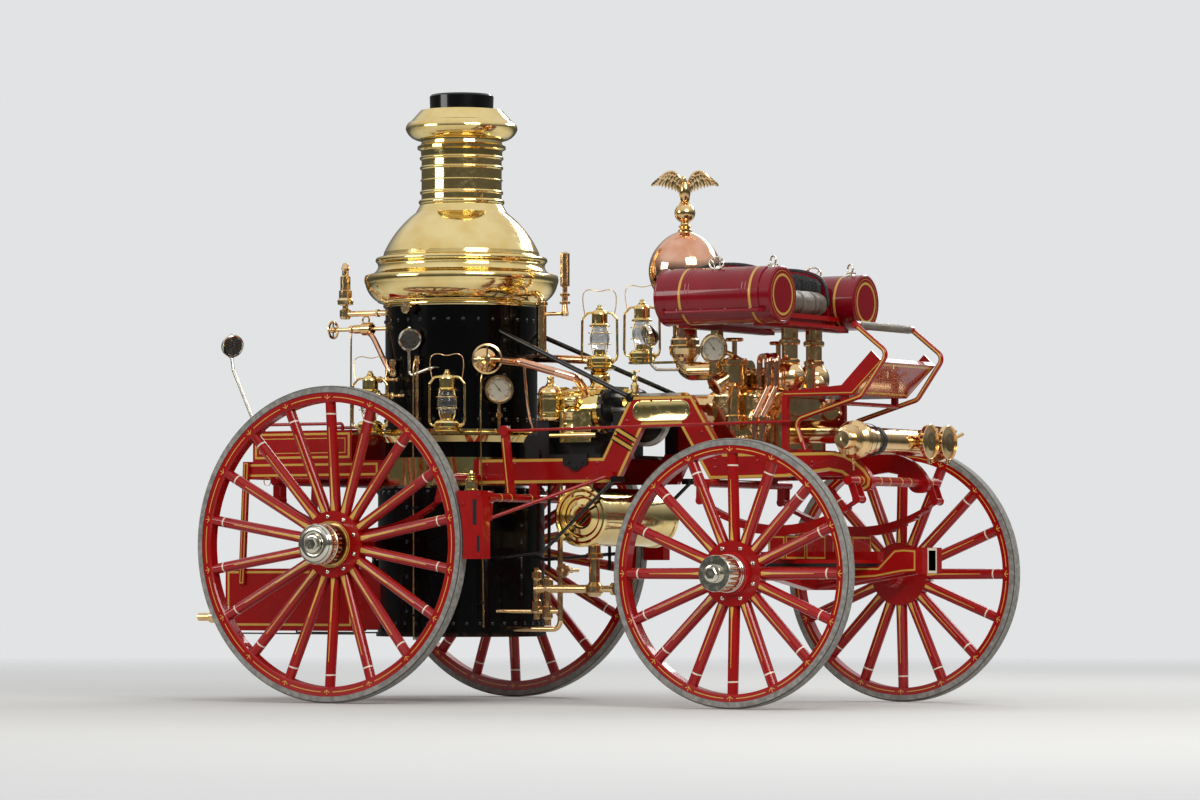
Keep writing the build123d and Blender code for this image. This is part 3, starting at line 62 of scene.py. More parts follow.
# %% Places
wheel_low, wheel_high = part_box("tyre_rear_right")
rear_axle_x = (wheel_low.x + wheel_high.x) / 2


def at(forward, sideways, height):
    """A point by its distance ahead of the rear axle, to the left, and up, in millimetres."""
    return Vector((rear_axle_x + forward / 1000, sideways / 1000, height / 1000))


sides = (("right", -1), ("left", 1))
X, Y, Z = Vector((1, 0, 0)), Vector((0, 1, 0)), Vector((0, 0, 1))
frame_half = 301  # from the middle to the outer face of the frame's side plates, in millimetres
print("rear axle at x =", round(rear_axle_x, 4))

# %% [markdown]
# ## The camera
#
# The photograph was taken from low down and far away with a long lens, 31 degrees round from
# square on towards the front. The place and lens come from the wheels' known circles.

# %% Camera
camera_data = bpy.data.cameras.new("camera")
camera = bpy.data.objects.new("camera", camera_data)
bpy.context.collection.objects.link(camera)
camera_data.lens, camera_data.sensor_width = 153.14, 36
camera.location = at(13656, -21250, 585)
look = at(1002, 0, 1463) - camera.location
camera.rotation_euler = look.to_track_quat("-Z", "Y").to_euler()
camera_data.clip_end = 200
bpy.context.scene.camera = camera
print("camera is", round(look.length, 2), "m away")

# %% [markdown]
# ## Writing materials as sums
#
# A material is a small program of nodes. `Value` stands for one output socket, and arithmetic
# on it makes Math nodes, so that a pattern reads as its formula. `Paint` is a material with its
# Principled shader; its `node` method makes any node from a type, settings and socket values.

# %% A small language for shaders
def colour(red, green, blue):
    """A colour typed as it looks on a screen, 0 to 255, as the linear light that shaders use."""
    shares = (red / 255, green / 255, blue / 255)
    return (*(c / 12.92 if c <= 0.04045 else ((c + 0.055) / 1.055) ** 2.4 for c in shares), 1.0)


class Value:
    """One output of a node. Arithmetic and comparisons on it make Math nodes."""

    def __init__(self, paint, socket):
        self.paint, self.socket = paint, socket

    def __add__(self, other): return self.paint.maths("ADD", self, other)
    def __radd__(self, other): return self.paint.maths("ADD", other, self)
    def __sub__(self, other): return self.paint.maths("SUBTRACT", self, other)
    def __rsub__(self, other): return self.paint.maths("SUBTRACT", other, self)
    def __mul__(self, other): return self.paint.maths("MULTIPLY", self, other)
    def __rmul__(self, other): return self.paint.maths("MULTIPLY", other, self)
    def __truediv__(self, other): return self.paint.maths("DIVIDE", self, other)
    def __rtruediv__(self, other): return self.paint.maths("DIVIDE", other, self)
    def __pow__(self, other): return self.paint.maths("POWER", self, other)
    def __lt__(self, other): return self.paint.maths("LESS_THAN", self, other)
    def __gt__(self, other): return self.paint.maths("GREATER_THAN", self, other)
    def __abs__(self): return self.paint.maths("ABSOLUTE", self)
    def __and__(self, other): return self.paint.maths("MINIMUM", self, other)
    def __or__(self, other): return self.paint.maths("MAXIMUM", self, other)


class Paint:
    """A material under construction. Its slot is the record's finish that pieces in it belong to."""

    def __init__(self, name, slot=None, **constants):
        self.slot = slot
        self.material = bpy.data.materials.new(name)
        self.material.use_nodes = True
        self.tree = self.material.node_tree
        self.shader = self.tree.nodes["Principled BSDF"]
        for socket, value in constants.items():
            self.shader.inputs[socket.replace("_", " ")].default_value = value

    def node(self, kind, settings=(), inputs=(), output=0):
        """Makes a node, sets its settings first and then its sockets, and gives one output."""
        node = self.tree.nodes.new(kind)
        for name, value in dict(settings).items():
            setattr(node, name, value)
        for key, value in dict(inputs).items():
            self.feed(node.inputs[key], value)
        return Value(self, node.outputs[output])

    def feed(self, socket, value):
        if isinstance(value, Value):
            self.tree.links.new(value.socket, socket)
        else:
            socket.default_value = value

    def maths(self, operation, *values):
        return self.node("ShaderNodeMath", {"operation": operation}, enumerate(values))

    def mix(self, factor, first, second):
        """A colour between two. On this node 0 is the factor, and 6 and 7 are its colour sockets."""
        return self.node("ShaderNodeMix", {"data_type": "RGBA"}, {0: factor, 6: first, 7: second}, 2)

    def place(self):
        """The point on the piece, in its own coordinates: the fourth output, Object."""
        return self.node("ShaderNodeTexCoord", output=3)

    def axes(self, point=None):
        """x, y and z of a point, as three values."""
        parts = self.tree.nodes.new("ShaderNodeSeparateXYZ")
        self.feed(parts.inputs[0], point or self.place())
        return [Value(self, output) for output in parts.outputs]

    def noise(self, scale, detail=3.0, point=None):
        return self.node("ShaderNodeTexNoise",
                         inputs={"Vector": point or self.place(), "Scale": scale, "Detail": detail})

    def ramp(self, value, low, high, from_value=0.0, to_value=1.0):
        """Maps low..high onto from_value..to_value, held at both ends."""
        return self.node("ShaderNodeMapRange", inputs={
            "Value": value, "From Min": low, "From Max": high, "To Min": from_value, "To Max": to_value})

    def bump(self, height, distance, strength=1.0):
        self.feed(self.shader.inputs["Normal"], self.node(
            "ShaderNodeBump", inputs={"Height": height, "Distance": distance, "Strength": strength}))

    def set(self, socket, value):
        self.feed(self.shader.inputs[socket], value)


print("a mid grey typed as 128 is", round(colour(128, 128, 128)[0], 3), "in linear light")

# %% [markdown]
# ## Paints and metals
#
# Enamel is a colour under clear varnish, so it has a full coat and a faint ripple. Polished
# metal is never quite even: its roughness and tint drift, and fine scratches follow the polishing.

# %% Paints and metals
gold_leaf = colour(208, 166, 78)
cream = colour(226, 214, 196)
red_base, red_deep = colour(166, 14, 14), colour(132, 8, 10)
maroon_base, maroon_deep = colour(140, 10, 26), colour(104, 6, 20)


def enamel(name, base, deep, roughness=0.22, slot="red_paint"):
    """Gloss paint: mottled between two close colours, rippled and slightly dusty."""
    paint = Paint(name, slot, Roughness=roughness, Coat_Weight=0.55, Coat_Roughness=0.03, Specular_IOR_Level=0.2)
    paint.mottle = paint.mix(paint.noise(5.0), base, deep)
    paint.set("Base Color", paint.mottle)
    paint.set("Roughness", paint.ramp(paint.noise(18.0), 0.3, 0.7, roughness, roughness + 0.06))
    paint.bump(paint.noise(40.0, 1.0), 0.0003, 0.12)
    return paint


def metal(name, base, worn, roughness, slot=None):
    """Polished metal with drifting tint, fingermarks and fine scratches."""
    paint = Paint(name, slot, Metallic=1.0, Roughness=roughness)
    paint.set("Base Color", paint.mix(paint.ramp(paint.noise(9.0, 4.0), 0.35, 0.75), base, worn))
    marks = paint.ramp(paint.noise(38.0, 6.0), 0.45, 0.75, 0.0, 0.14)
    paint.set("Roughness", marks + (roughness - 0.03))
    stretched = paint.node("ShaderNodeMapping", inputs={"Vector": paint.place(), "Scale": (30.0, 30.0, 300.0)})
    paint.bump(paint.noise(3.0, 2.0, stretched), 0.0001, 0.25)
    return paint


red_paint = enamel("red_enamel", red_base, red_deep)
maroon_paint = enamel("maroon_enamel", maroon_base, maroon_deep, 0.16, "maroon_paint")
black_paint = enamel("black_enamel", colour(12, 12, 13), colour(5, 5, 6), 0.18, "black_paint")
iron = enamel("black_iron", colour(30, 29, 28), colour(16, 15, 15), 0.42, "black_paint")
brass = metal("polished_brass", colour(246, 224, 160), colour(234, 200, 124), 0.10, "polished_brass")
bronze = metal("polished_bronze", colour(243, 212, 162), colour(224, 180, 120), 0.13, "polished_brass")
copper = metal("polished_copper", colour(246, 198, 170), colour(226, 156, 120), 0.10, "polished_copper")
nickel = metal("nickel_plate", colour(232, 228, 214), colour(208, 202, 186), 0.12)
steel = metal("bright_steel", colour(168, 166, 162), colour(118, 116, 112), 0.28)
gold = enamel("gold_leaf_line", gold_leaf, colour(192, 148, 62), 0.34)
gold.shader.inputs["Metallic"].default_value = 0.2
cream_paint = enamel("cream_line", cream, colour(206, 192, 172), 0.3)
print("base materials:", len(bpy.data.materials))

# %% [markdown]
# ## Wheels
#
# A wheel's lines are drawn in polar coordinates about its own axle: a broken gold line round
# the felloe with a small crow's foot at each spoke, a cream band near each spoke's end, and a
# gold wedge that runs out from the hub along each spoke and splits into two fine lines.

# %% Wheel paint
Wheel = namedtuple("Wheel", "forward radius felloe spokes flange ring cap_from cap_radius "
                            "collar collar_from wood_from wedge face nut_from nut_to nut_radius")
# All in millimetres. forward and radius place the wheel, and felloe is the wooden rim's inner
# radius. flange, ring, collar and cap_radius are radii on the hub; the values that end in _from
# are distances out from the engine's middle, as are face and nut_to. wedge is the half width of
# a spoke's gold line at the hub, at its neck, and of each of its two fine lines.
wheel_sizes = {
    "rear": Wheel(0, 762, 683, 18, flange=161, ring=112, cap_from=931, cap_radius=101, collar=107, collar_from=834,
                  wood_from=700, wedge=(11.8, 5.4, 1.9), face=836, nut_from=985, nut_to=1005, nut_radius=46),
    "front": Wheel(2214, 620, 552, 16, flange=151, ring=98, cap_from=879, cap_radius=86, collar=99, collar_from=859,
                   wood_from=760, wedge=(8.6, 3.1, 1.3), face=860, nut_from=1022, nut_to=1045, nut_radius=42),
}
hub_brass, hub_wood, hub_nickel = colour(232, 196, 124), colour(52, 26, 16), colour(206, 198, 180)


def wheel_paint(place):
    """Red enamel with the wheel's lines, and its hub's metals and shoulder told by place."""
    wheel = wheel_sizes[place]
    paint = enamel(f"wheel_enamel_{place}", red_base, red_deep, slot="wheel_wood")
    centre = at(wheel.forward, 0, wheel.radius)
    x, y, z = paint.axes()
    dx, dz, out = (x - centre.x) * 1000, (z - centre.z) * 1000, abs(y) * 1000
    r = (dx * dx + dz * dz) ** 0.5
    angle = paint.maths("ARCTAN2", dz, dx)
    step = math.tau / wheel.spokes
    turn = (angle - math.pi / 2) / step
    off_spoke = abs((turn - paint.maths("ROUND", turn)) * step * r)

    rim_line = wheel.felloe + (wheel.radius - 32 - wheel.felloe) * 0.52
    on_rim = (abs(r - rim_line) < 1.9) & (off_spoke > 34) & (r > wheel.felloe)
    foot = (abs(r - (rim_line - 9 + off_spoke * 0.75)) < 2.0) & (off_spoke < 16)
    stem = (off_spoke < 1.8) & (r > (rim_line - 10)) & (r < (rim_line + 12))
    band = (abs(r - (wheel.felloe - 56)) < 3.6) & (off_spoke < 60)

    wide, neck, fine = wheel.wedge
    neck_at = wheel.flange + 64
    reach = (paint.ramp(r, wheel.flange + 2, neck_at, wide, neck)
             - paint.ramp(r, neck_at, wheel.felloe - 130, 0.0, neck - fine))
    gap = (off_spoke < (reach - 2.0)) & (r > (wheel.flange + 210))
    on_spoke = (r > (wheel.flange + 1)) & (r < (wheel.felloe - 120)) & (out > wheel.wood_from)
    line = (off_spoke < reach) & (1 - gap) & on_spoke
    tinted = paint.mix(on_rim | foot | stem | line, paint.mottle, gold_leaf)
    tinted = paint.mix(band, tinted, cream)

    metallic = inside_cap = (r < wheel.cap_radius) & (out > wheel.cap_from)
    collar = (r < wheel.collar) & (r > 30) & (out > wheel.collar_from)
    if place == "rear":
        shoulder_line = (abs(r - (wheel.ring - 1.4)) < 1.3) & (out > 848)
        tinted = paint.mix(shoulder_line, tinted, gold_leaf)
        barrel = collar & (abs(out - 891) < 34)
        teeth = (paint.maths("SINE", angle * 28) > 0.1) & (abs(out - 908) < 12)
        tinted = paint.mix(collar, tinted, hub_brass)
        tinted = paint.mix(barrel & (1 - teeth), tinted, hub_wood)
        metallic = inside_cap | collar
    else:
        tinted = paint.mix(collar, tinted, colour(170, 16, 22))
    paint.set("Base Color", paint.mix(inside_cap, tinted, hub_nickel))
    paint.set("Metallic", metallic * 0.97)
    return paint


wheel_paints = {place: wheel_paint(place) for place in wheel_sizes}
print("nodes in the rear wheel's paint:", len(wheel_paints["rear"].tree.nodes))

# %% [markdown]
# The tyres are solid rubber held in a metal channel. Rubber of this age is grey and dull, so its
# roughness is high and uneven, and a dark line marks the join with the channel.

# %% Tyre rubber
tyre_middle, tyre_half = 847.5, 29.0  # how far out the tyres run, and half the rubber's width


def tyre_paint():
    """Solid rubber: grey with age, darker in the join with its channel, scuffed on the tread."""
    paint = Paint("tyre_rubber", Roughness=0.8)
    scuffs = paint.ramp(paint.noise(46.0, 6.0), 0.36, 0.66)
    base = paint.mix(scuffs, colour(112, 110, 106), colour(148, 145, 139))
    _, y, _ = paint.axes()
    groove = abs(abs(abs(y) * 1000 - tyre_middle) - tyre_half) < 2.2
    paint.set("Base Color", paint.mix(groove, base, colour(58, 56, 54)))
    paint.set("Roughness", paint.ramp(scuffs, 0.0, 1.0, 0.62, 0.88))
    paint.bump(paint.noise(150.0, 4.0), 0.0012, 0.5)
    return paint


tyre_rubber = tyre_paint()
print("tyres run", tyre_middle, "mm out from the middle")

# %% [markdown]
# ## Leather, glass and dials
#
# Hide is a skin of small raised cells, darker in the creases and rubbed paler in patches. Cells
# come from a Voronoi texture's distance to its edges, which is nought along the creases. A dial
# is card with printed ticks, drawn by angle and radius like the wheels' lines.

# %% Leather, glass and dials
def leather(name, slot, base, crease, roughness, scale=260.0, seam_shade=None):
    """Pebbled hide. The last argument is (axis, spacing) where channels are sewn; each channel gets a dark line of
    painted shade.
    """
    paint = Paint(name, slot, Roughness=roughness)
    cells = paint.node("ShaderNodeTexVoronoi", {"feature": "DISTANCE_TO_EDGE"},
                       {"Vector": paint.place(), "Scale": scale})
    raised = paint.ramp(cells, 0.0, 0.16)
    wear = paint.ramp(paint.noise(12.0, 4.0), 0.38, 0.68)
    tone = paint.mix(raised, crease, base)
    lighter = (*(min(1, c * 1.5) for c in base[:3]), 1)
    tone = paint.mix(wear * 0.5, tone, lighter)
    if seam_shade:
        axis, spacing = seam_shade
        along = paint.axes()[axis] / spacing
        off_seam = abs(along - paint.maths("ROUND", along))
        # painted shade: the sewn channels are darkened along their grooves
        tone = paint.mix(paint.ramp(off_seam, 0.02, 0.09, 0.85, 0.0), tone, crease)
    paint.set("Base Color", tone)
    paint.set("Roughness", paint.ramp(wear, 0.0, 1.0, roughness - 0.08, roughness + 0.1))
    paint.bump(raised, 0.0007, 0.5)
    return paint


black_leather = leather("black_leather", "black_leather", colour(17, 18, 22), colour(7, 7, 9), 0.34)
worn_leather = leather("worn_leather", "worn_leather", colour(118, 110, 98), colour(70, 64, 56), 0.46)
cushion_leather = leather("cushion_leather", "worn_leather", colour(124, 116, 103), colour(38, 35, 31), 0.44, 300.0,
                          (1, 0.125))


def glass_paint():
    """A lantern's globe: thin old glass, a little smoked and smeared."""
    paint = Paint("lantern_glass", Roughness=0.04, IOR=1.45, Transmission_Weight=0.92, Alpha=0.55)
    smoke = paint.ramp(paint.noise(14.0, 3.0), 0.35, 0.8)
    paint.set("Base Color", paint.mix(smoke, colour(238, 240, 240), colour(196, 198, 196)))
    paint.set("Roughness", paint.ramp(paint.noise(40.0, 4.0), 0.4, 0.8, 0.02, 0.12))
    return paint


glass = glass_paint()


def dial_paint():
    """A gauge's face: cream card, ticks over three quarters of a turn, and a black needle."""
    paint = Paint("gauge_dial", Roughness=0.5)
    x, y, _ = paint.axes()
    x, y = x * 1000, y * 1000
    r = (x * x + y * y) ** 0.5
    angle = paint.maths("ARCTAN2", x, y) / math.pi
    fine, coarse = angle * 20, angle * 4
    tick = abs(fine - paint.maths("ROUND", fine)) < 0.12
    long_tick = abs(coarse - paint.maths("ROUND", coarse)) < 0.045
    in_arc = abs(angle) < 0.78
    ticks = ((tick & (r > 44)) | (long_tick & (r > 38))) & in_arc & (r < 50)
    circle = (abs(r - 50.5) < 0.7) & in_arc
    along_needle = x * -0.6 + y * 0.8
    needle = (abs(x * 0.8 + y * 0.6) < 1.6) & (along_needle > -14) & (along_needle < 38)
    hub = r < 5
    card = paint.mix(paint.noise(60.0, 4.0), colour(196, 190, 172), colour(166, 160, 142))
    paint.set("Base Color", paint.mix(ticks | circle | needle | hub, card, colour(22, 22, 24)))
    return paint


dial = dial_paint()
print("hides:", black_leather.material.name, worn_leather.material.name, cushion_leather.material.name)

# %% [markdown]
# ## Paints that change along a node
#
# Some nodes carry more than one finish. The boiler is black enamel with a red-brown foot ring.
# The engine's frame is black iron, but its rods and guides are bright. The pole's socket is red
# outside and bare inside. Cutting a node in two would make a seam, so each is told by place.

# %% Boiler and engine paints
def boiler_paint():
    """Deep black with a thin coat, rusty at the foot."""
    paint = enamel("boiler_enamel", colour(7, 7, 8), colour(3, 3, 4), 0.14)
    paint.shader.inputs["Coat Weight"].default_value = 0.18
    paint.shader.inputs["Specular IOR Level"].default_value = 0.12
    _, _, z = paint.axes()
    rust = paint.ramp(z, 0.34, 0.315) * paint.ramp(paint.noise(30.0, 5.0), 0.4, 0.6)
    paint.set("Base Color", paint.mix(rust, paint.mottle, colour(58, 34, 24)))
    return paint


rod_height, flywheel_forward, flywheel_height = 1408, 1260, 1362


def engine_paint():
    """Black iron, with bright rods, guides, crank and flywheel rim."""
    paint = enamel("engine_iron", colour(26, 25, 25), colour(12, 12, 12), 0.4)
    x, y, z = paint.axes()
    forward, out, height = (x - rear_axle_x) * 1000, abs(y) * 1000, z * 1000
    off_rod, above_rod = abs(out - 140), abs(height - rod_height)
    rods = (off_rod < 15) & (above_rod < 15) & (forward > 1150)
    guides = (off_rod < 26) & (abs(above_rod - 68) < 9) & (forward > 1160)
    crank = (out < 120) & (abs(forward - 1300) < 60) & (abs(height - 1380) < 60)
    ahead, above = forward - flywheel_forward, height - flywheel_height
    flywheel_rim = (out < 20) & ((ahead * ahead + above * above) > 110 ** 2)
    bright = rods | guides | crank | flywheel_rim
    paint.set("Base Color", paint.mix(bright, paint.mottle, colour(176, 172, 164)))
    paint.set("Metallic", bright * 0.95)
    return paint


def socket_paint():
    """Red outside, and bare black iron in the hole that takes the pole."""
    paint = enamel("socket_enamel", red_base, red_deep)
    x, y, z = paint.axes()
    hole = ((x - rear_axle_x) * 1000 > 2699) & (abs(y) * 1000 < 35.6) & (abs(z * 1000 - 681) < 47)
    paint.set("Base Color", paint.mix(hole, paint.mottle, colour(8, 8, 9)))
    return paint


print("rods are bright at a height of", rod_height, "mm")

# %% [markdown]
# Each node of the CAD model then gets its finish. The table is read by finish; what it leaves out
# is red, as most of the engine is.

# %% Dress the CAD nodes
dressed = {
    boiler_paint(): "boiler",
    engine_paint(): "engine_frame",
    socket_paint(): "pole_socket",
    brass: "boiler_band boiler_shelf stack steam_cylinders brass_drum lanterns",
    bronze: "pump pump_valves air_chamber_union eagle suction_pipe suction_caps feed_valves brass_fittings "
            "rear_nozzle",
    copper: "air_chamber copper_pipes",
    iron: "fire_door fifth_wheel_ring",
    black_paint: "stack_cap gooseneck_lamps stay_rods",
    maroon_paint: "seat_panels tool_cylinder_right tool_cylinder_left tool_lid_right tool_lid_left",
    worn_leather: "seat_cushion",
    black_leather: "seat_back",
    glass: "lantern_globes",
}
node_finish = {name: paint for paint, names in dressed.items() for name in names.split()}
for side, _ in sides:
    for place in wheel_sizes:
        node_finish[f"wheel_{place}_{side}"] = wheel_paints[place]
        node_finish[f"tyre_{place}_{side}"] = tyre_rubber
for name, node in nodes.items():
    node.data.materials.clear()
    node.data.materials.append(node_finish.get(name, red_paint).material)
print("nodes in plain red:", sorted(set(nodes) - set(node_finish)))

# %% [markdown]
# ## Tools for making pieces
#
# A builder function fills a mesh, and `mesh_piece` makes the piece, paints it and hands it to a
# body, so that it moves with it. Each piece says its name and how many faces it has.

# %% Piece helpers
def finish_piece(piece, paint, body="chassis", slot="the paint's own"):
    """Gives a piece its paint and its body, and prints what was made."""
    piece.data.materials.append(paint.material)
    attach(piece, body)
    slot = paint.slot if slot == "the paint's own" else slot
    made = f"{len(piece.data.polygons)} faces" if piece.type == "MESH" else f"{len(piece.data.splines)} wires"
    print(piece.name, "on", body, "has", made)
    return piece


def mesh_object(name, build, smooth=True):
    """An object whose mesh build(bm) fills."""
    bm = bmesh.new()
    build(bm)
    bmesh.ops.recalc_face_normals(bm, faces=bm.faces)
    data = bpy.data.meshes.new(name)
    bm.to_mesh(data)
    bm.free()
    if smooth:
        data.shade_smooth()
        data.set_sharp_from_angle(angle=math.radians(35))
    piece = bpy.data.objects.new(name, data)
    bpy.context.collection.objects.link(piece)
    return piece


def mesh_piece(name, build, paint, body="chassis", slot="the paint's own", smooth=True):
    return finish_piece(mesh_object(name, build, smooth), paint, body, slot)


# %% [markdown]
# Most trim is turned: one outline swept round an axis. `basis` finds two directions square to the
# axis, `ring_points` draws a circle with them, and `lathe` joins circle to circle. A rivet's
# domed head and a six-sided nut are small turned forms too.

# %% Turned forms
def basis(along):
    """Two directions square to along, and to each other."""
    along = along.normalized()
    side = along.cross(Z) if abs(along.z) < 0.95 else along.cross(X)
    side.normalize()
    return side, side.cross(along).normalized()


def ring_points(centre, along, radius, count=24, start=0.0):
    """Points round a circle that looks along a direction."""
    side, up = basis(along)
    angles = [start + math.tau * k / count for k in range(count)]
    return [centre + radius * (math.cos(angle) * side + math.sin(angle) * up) for angle in angles]


def lathe(bm, foot, along, profile, segments=32):
    """A turned form from (radius, distance) pairs in metres."""
    along = along.normalized()
    rings = []
    for radius, distance in profile:
        centre = foot + along * distance
        points = ring_points(centre, along, radius, segments) if radius > 1e-6 else [centre]
        rings.append([bm.verts.new(point) for point in points])
    for low, high in zip(rings, rings[1:]):
        for k in range(segments):
            corners = [low[k % len(low)], low[(k + 1) % len(low)], high[(k + 1) % len(high)], high[k % len(high)]]
            corners = list(dict.fromkeys(corners))
            if len(corners) > 2:
                bm.faces.new(corners)


def domes(bm, places, radius, height=None, segments=10):
    """A round head at each (point, outward direction)."""
    height = height or radius * 0.6
    for point, outward in places:
        lathe(bm, point - outward.normalized() * 0.0006, outward, (
            (radius, 0), (radius * 0.94, height * 0.45), (radius * 0.62, height * 0.86), (0, height)), segments)


def hexes(bm, places, radius, height):
    """A six-sided nut or bolt head at each (point, outward direction)."""
    for point, outward in places:
        lathe(bm, point - outward.normalized() * 0.0005, outward, (
            (radius, 0), (radius, height * 0.86), (radius * 0.9, height), (0, height)), 6)


print("a ring of a metre starts at", tuple(ring_points(Vector(), Z, 1.0)[0]))

# %% [markdown]
# A painted line is a flat strip. Its corners are mitred, which keeps its width even round a bend.
# `inset` moves a closed outline inwards, so that a line keeps its distance from an edge.

# %% Strips
def ribbon(bm, points, width, normal, closed=False):
    """A flat strip along the points with mitred corners, lying square to normal."""
    normal = normal.normalized()
    count = len(points)
    pairs = []
    for k, point in enumerate(points):
        before = points[k - 1] if closed or k else None
        after = points[(k + 1) % count] if closed or k < count - 1 else None
        incoming = (point - before).normalized() if before is not None else (after - point).normalized()
        outgoing = (after - point).normalized() if after is not None else incoming
        across = (incoming.cross(normal) + outgoing.cross(normal)).normalized()
        stretch = 1 / max(0.4, across.dot(incoming.cross(normal)))
        half = across * width / 2 * stretch
        pairs.append((bm.verts.new(point + half), bm.verts.new(point - half)))
    for k in range(count if closed else count - 1):
        (a, b), (c, d) = pairs[k], pairs[(k + 1) % count]
        bm.faces.new((a, c, d, b))


def inset(points, distance, normal):
    """The closed outline moved inwards by a distance."""
    moved = []
    centre = sum(points, Vector()) / len(points)
    area = sum(((a - centre).cross(b - centre)).dot(normal) for a, b in zip(points, points[1:] + points[:1]))
    way = 1 if area > 0 else -1
    count = len(points)
    for k, point in enumerate(points):
        incoming = (point - points[k - 1]).normalized()
        outgoing = (points[(k + 1) % count] - point).normalized()
        across_in, across_out = normal.cross(incoming) * way, normal.cross(outgoing) * way
        across = (across_in + across_out).normalized()
        moved.append(point + across * distance / max(0.35, across.dot(across_in)))
    return moved


square = [Vector(), X, X + Y, Y]
print("a metre's square, inset by 0.1, has a corner at", tuple(round(c, 3) for c in inset(square, 0.1, Z)[0]))

# %% [markdown]
# Wire and pipe are curves with a round bevel. A smooth one runs near its points, and `rounded`
# gives a bent pipe's path: straight runs with an arc at each corner.

# %% Wires
def wire(name, paths, radius, paint, body="chassis", slot="the paint's own", cyclic=False, smooth=True):
    """Round wire along paths, smooth or straight from point to point."""
    data = bpy.data.curves.new(name, "CURVE")
    data.dimensions = "3D"
    data.bevel_depth, data.bevel_resolution, data.use_fill_caps = radius, 3, True
    for path in paths:
        spline = data.splines.new("NURBS" if smooth else "POLY")
        spline.points.add(len(path) - 1)
        for control, point in zip(spline.points, path):
            control.co = (*point, 1)
        spline.use_cyclic_u = cyclic
        if smooth:
            spline.order_u, spline.use_endpoint_u = 3, not cyclic
            spline.resolution_u = 6
    piece = bpy.data.objects.new(name, data)
    bpy.context.collection.objects.link(piece)
    return finish_piece(piece, paint, body, slot)


def rounded(points, bend):
    """The path with each corner turned into an arc, as a bent pipe runs."""
    path = [points[0]]
    for before, corner, after in zip(points, points[1:], points[2:]):
        incoming, outgoing = (corner - before).normalized(), (after - corner).normalized()
        half = incoming.angle(outgoing) / 2
        if half < 0.01:
            continue
        reach = bend * math.tan(half)
        inward = (outgoing - incoming).normalized()
        centre = corner + inward * bend / math.cos(half)
        start = (corner - incoming * reach - centre).normalized()
        end = (corner + outgoing * reach - centre).normalized()
        path += [centre + (start * (1 - k / 8) + end * k / 8).normalized() * bend for k in range(9)]
    return path + [points[-1]]


print("a pipe with one bend has", len(rounded([Vector(), X, X + Y], 0.1)), "points")

# %% [markdown]
# ## Gold stripes
#
# Lines of gold leaf follow the edges of the frame, the boxes and the boards. They could be drawn
# in the paint, but here they follow outlines with mitred corners, so each is a thin strip of its
# own, 0.4 mm proud of the face that it is painted on.

# %% Stripes on the frame and boxes
proud = 0.4
frame_outline = (
    (498, 1175), (1194, 1175), (1352, 1464), (1684, 1464), (1782, 1306), (1861, 1187), (2440, 1187), (2500, 1174),
    (2560, 1145), (2612, 1102), (2640, 1062), (2634, 1024), (2598, 1002), (2556, 1018), (2536, 1052), (2488, 1086),
    (2420, 1098), (2190, 1071), (1840, 1066), (1781, 1066), (1620, 1326), (1421, 1324), (1277, 1055), (498, 1055))
box_outlines = (
    ((-830, 1179), (-240, 1179), (-240, 1330), (-830, 1330)),  # coal tray
    ((-994, 352), (-230, 352), (-230, 648), (-994, 648)),  # fuel platform
    ((-890, 1092), (-75, 1092), (-75, 1179), (-890, 1179)),  # rear rails
)
hanger_outline = ((-880, 1179), (-845, 1179), (-872, 568), (-907, 568))
leg_foot, leg_run = (1235, 1115), Vector((158, 0, 289)).normalized()  # the arch's sloping rear leg


def side_points(outline, sideways):
    return [at(forward, sideways, height) for forward, height in outline]


def across_leg(bm, sign, stations, width, lift):
    """Short strips square across the arch's rear leg."""
    outward = Vector((0, sign, 0))
    half = leg_run.cross(outward).normalized() * 0.060
    for along in stations:
        middle = at(leg_foot[0], sign * (frame_half + lift), leg_foot[1]) + leg_run * along
        ribbon(bm, [middle - half, middle + half], width, outward)


for side, sign in sides:
    outward = Vector((0, sign, 0))

    def frame_lines(bm):
        face = sign * (frame_half + proud)
        ribbon(bm, inset(side_points(frame_outline, face), 0.0085, outward), 0.0135, outward, True)
        for outline in box_outlines:
            ribbon(bm, inset(side_points(outline, face), 0.018, outward), 0.011, outward, True)
        ribbon(bm, inset(side_points(box_outlines[0], face), 0.040, outward), 0.004, outward, True)
        hanger = side_points(hanger_outline, sign * (315 + proud))
        ribbon(bm, inset(hanger, 0.009, outward), 0.005, outward, True)

    mesh_piece(f"frame_lines_{side}", frame_lines, gold, smooth=False)
    mesh_piece(f"leg_straps_{side}", lambda bm: across_leg(bm, sign, (0.146, 0.190), 0.016, proud + 0.3), gold,
               smooth=False)
    mesh_piece(f"leg_strap_edges_{side}", lambda bm: across_leg(
        bm, sign, (0.134, 0.158, 0.178, 0.202), 0.007, proud + 0.2), black_paint, smooth=False)
    wire(f"platform_rail_{side}", [side_points(((-960, 342), (-960, 326), (-240, 326), (-240, 342)), sign * 281)],
         0.0055, iron, smooth=False)

# %% [markdown]
# ## The oval plates
#
# The blank brass plates on the arch are domed at the edge and held by a screw at each end. Five
# outlines, each a little smaller or higher than the last, are joined into a skin.

# %% Plates on the arch
def stadium(centre, half_long, half_high, along, up, count=12):
    """Points round a plate with round ends."""
    points = []
    for middle, start in ((half_long - half_high, -math.pi / 2), (half_high - half_long, math.pi / 2)):
        angles = [start + math.pi * k / count for k in range(count + 1)]
        points += [centre + along * (middle + half_high * math.cos(angle)) + up * half_high * math.sin(angle)
                   for angle in angles]
    return points


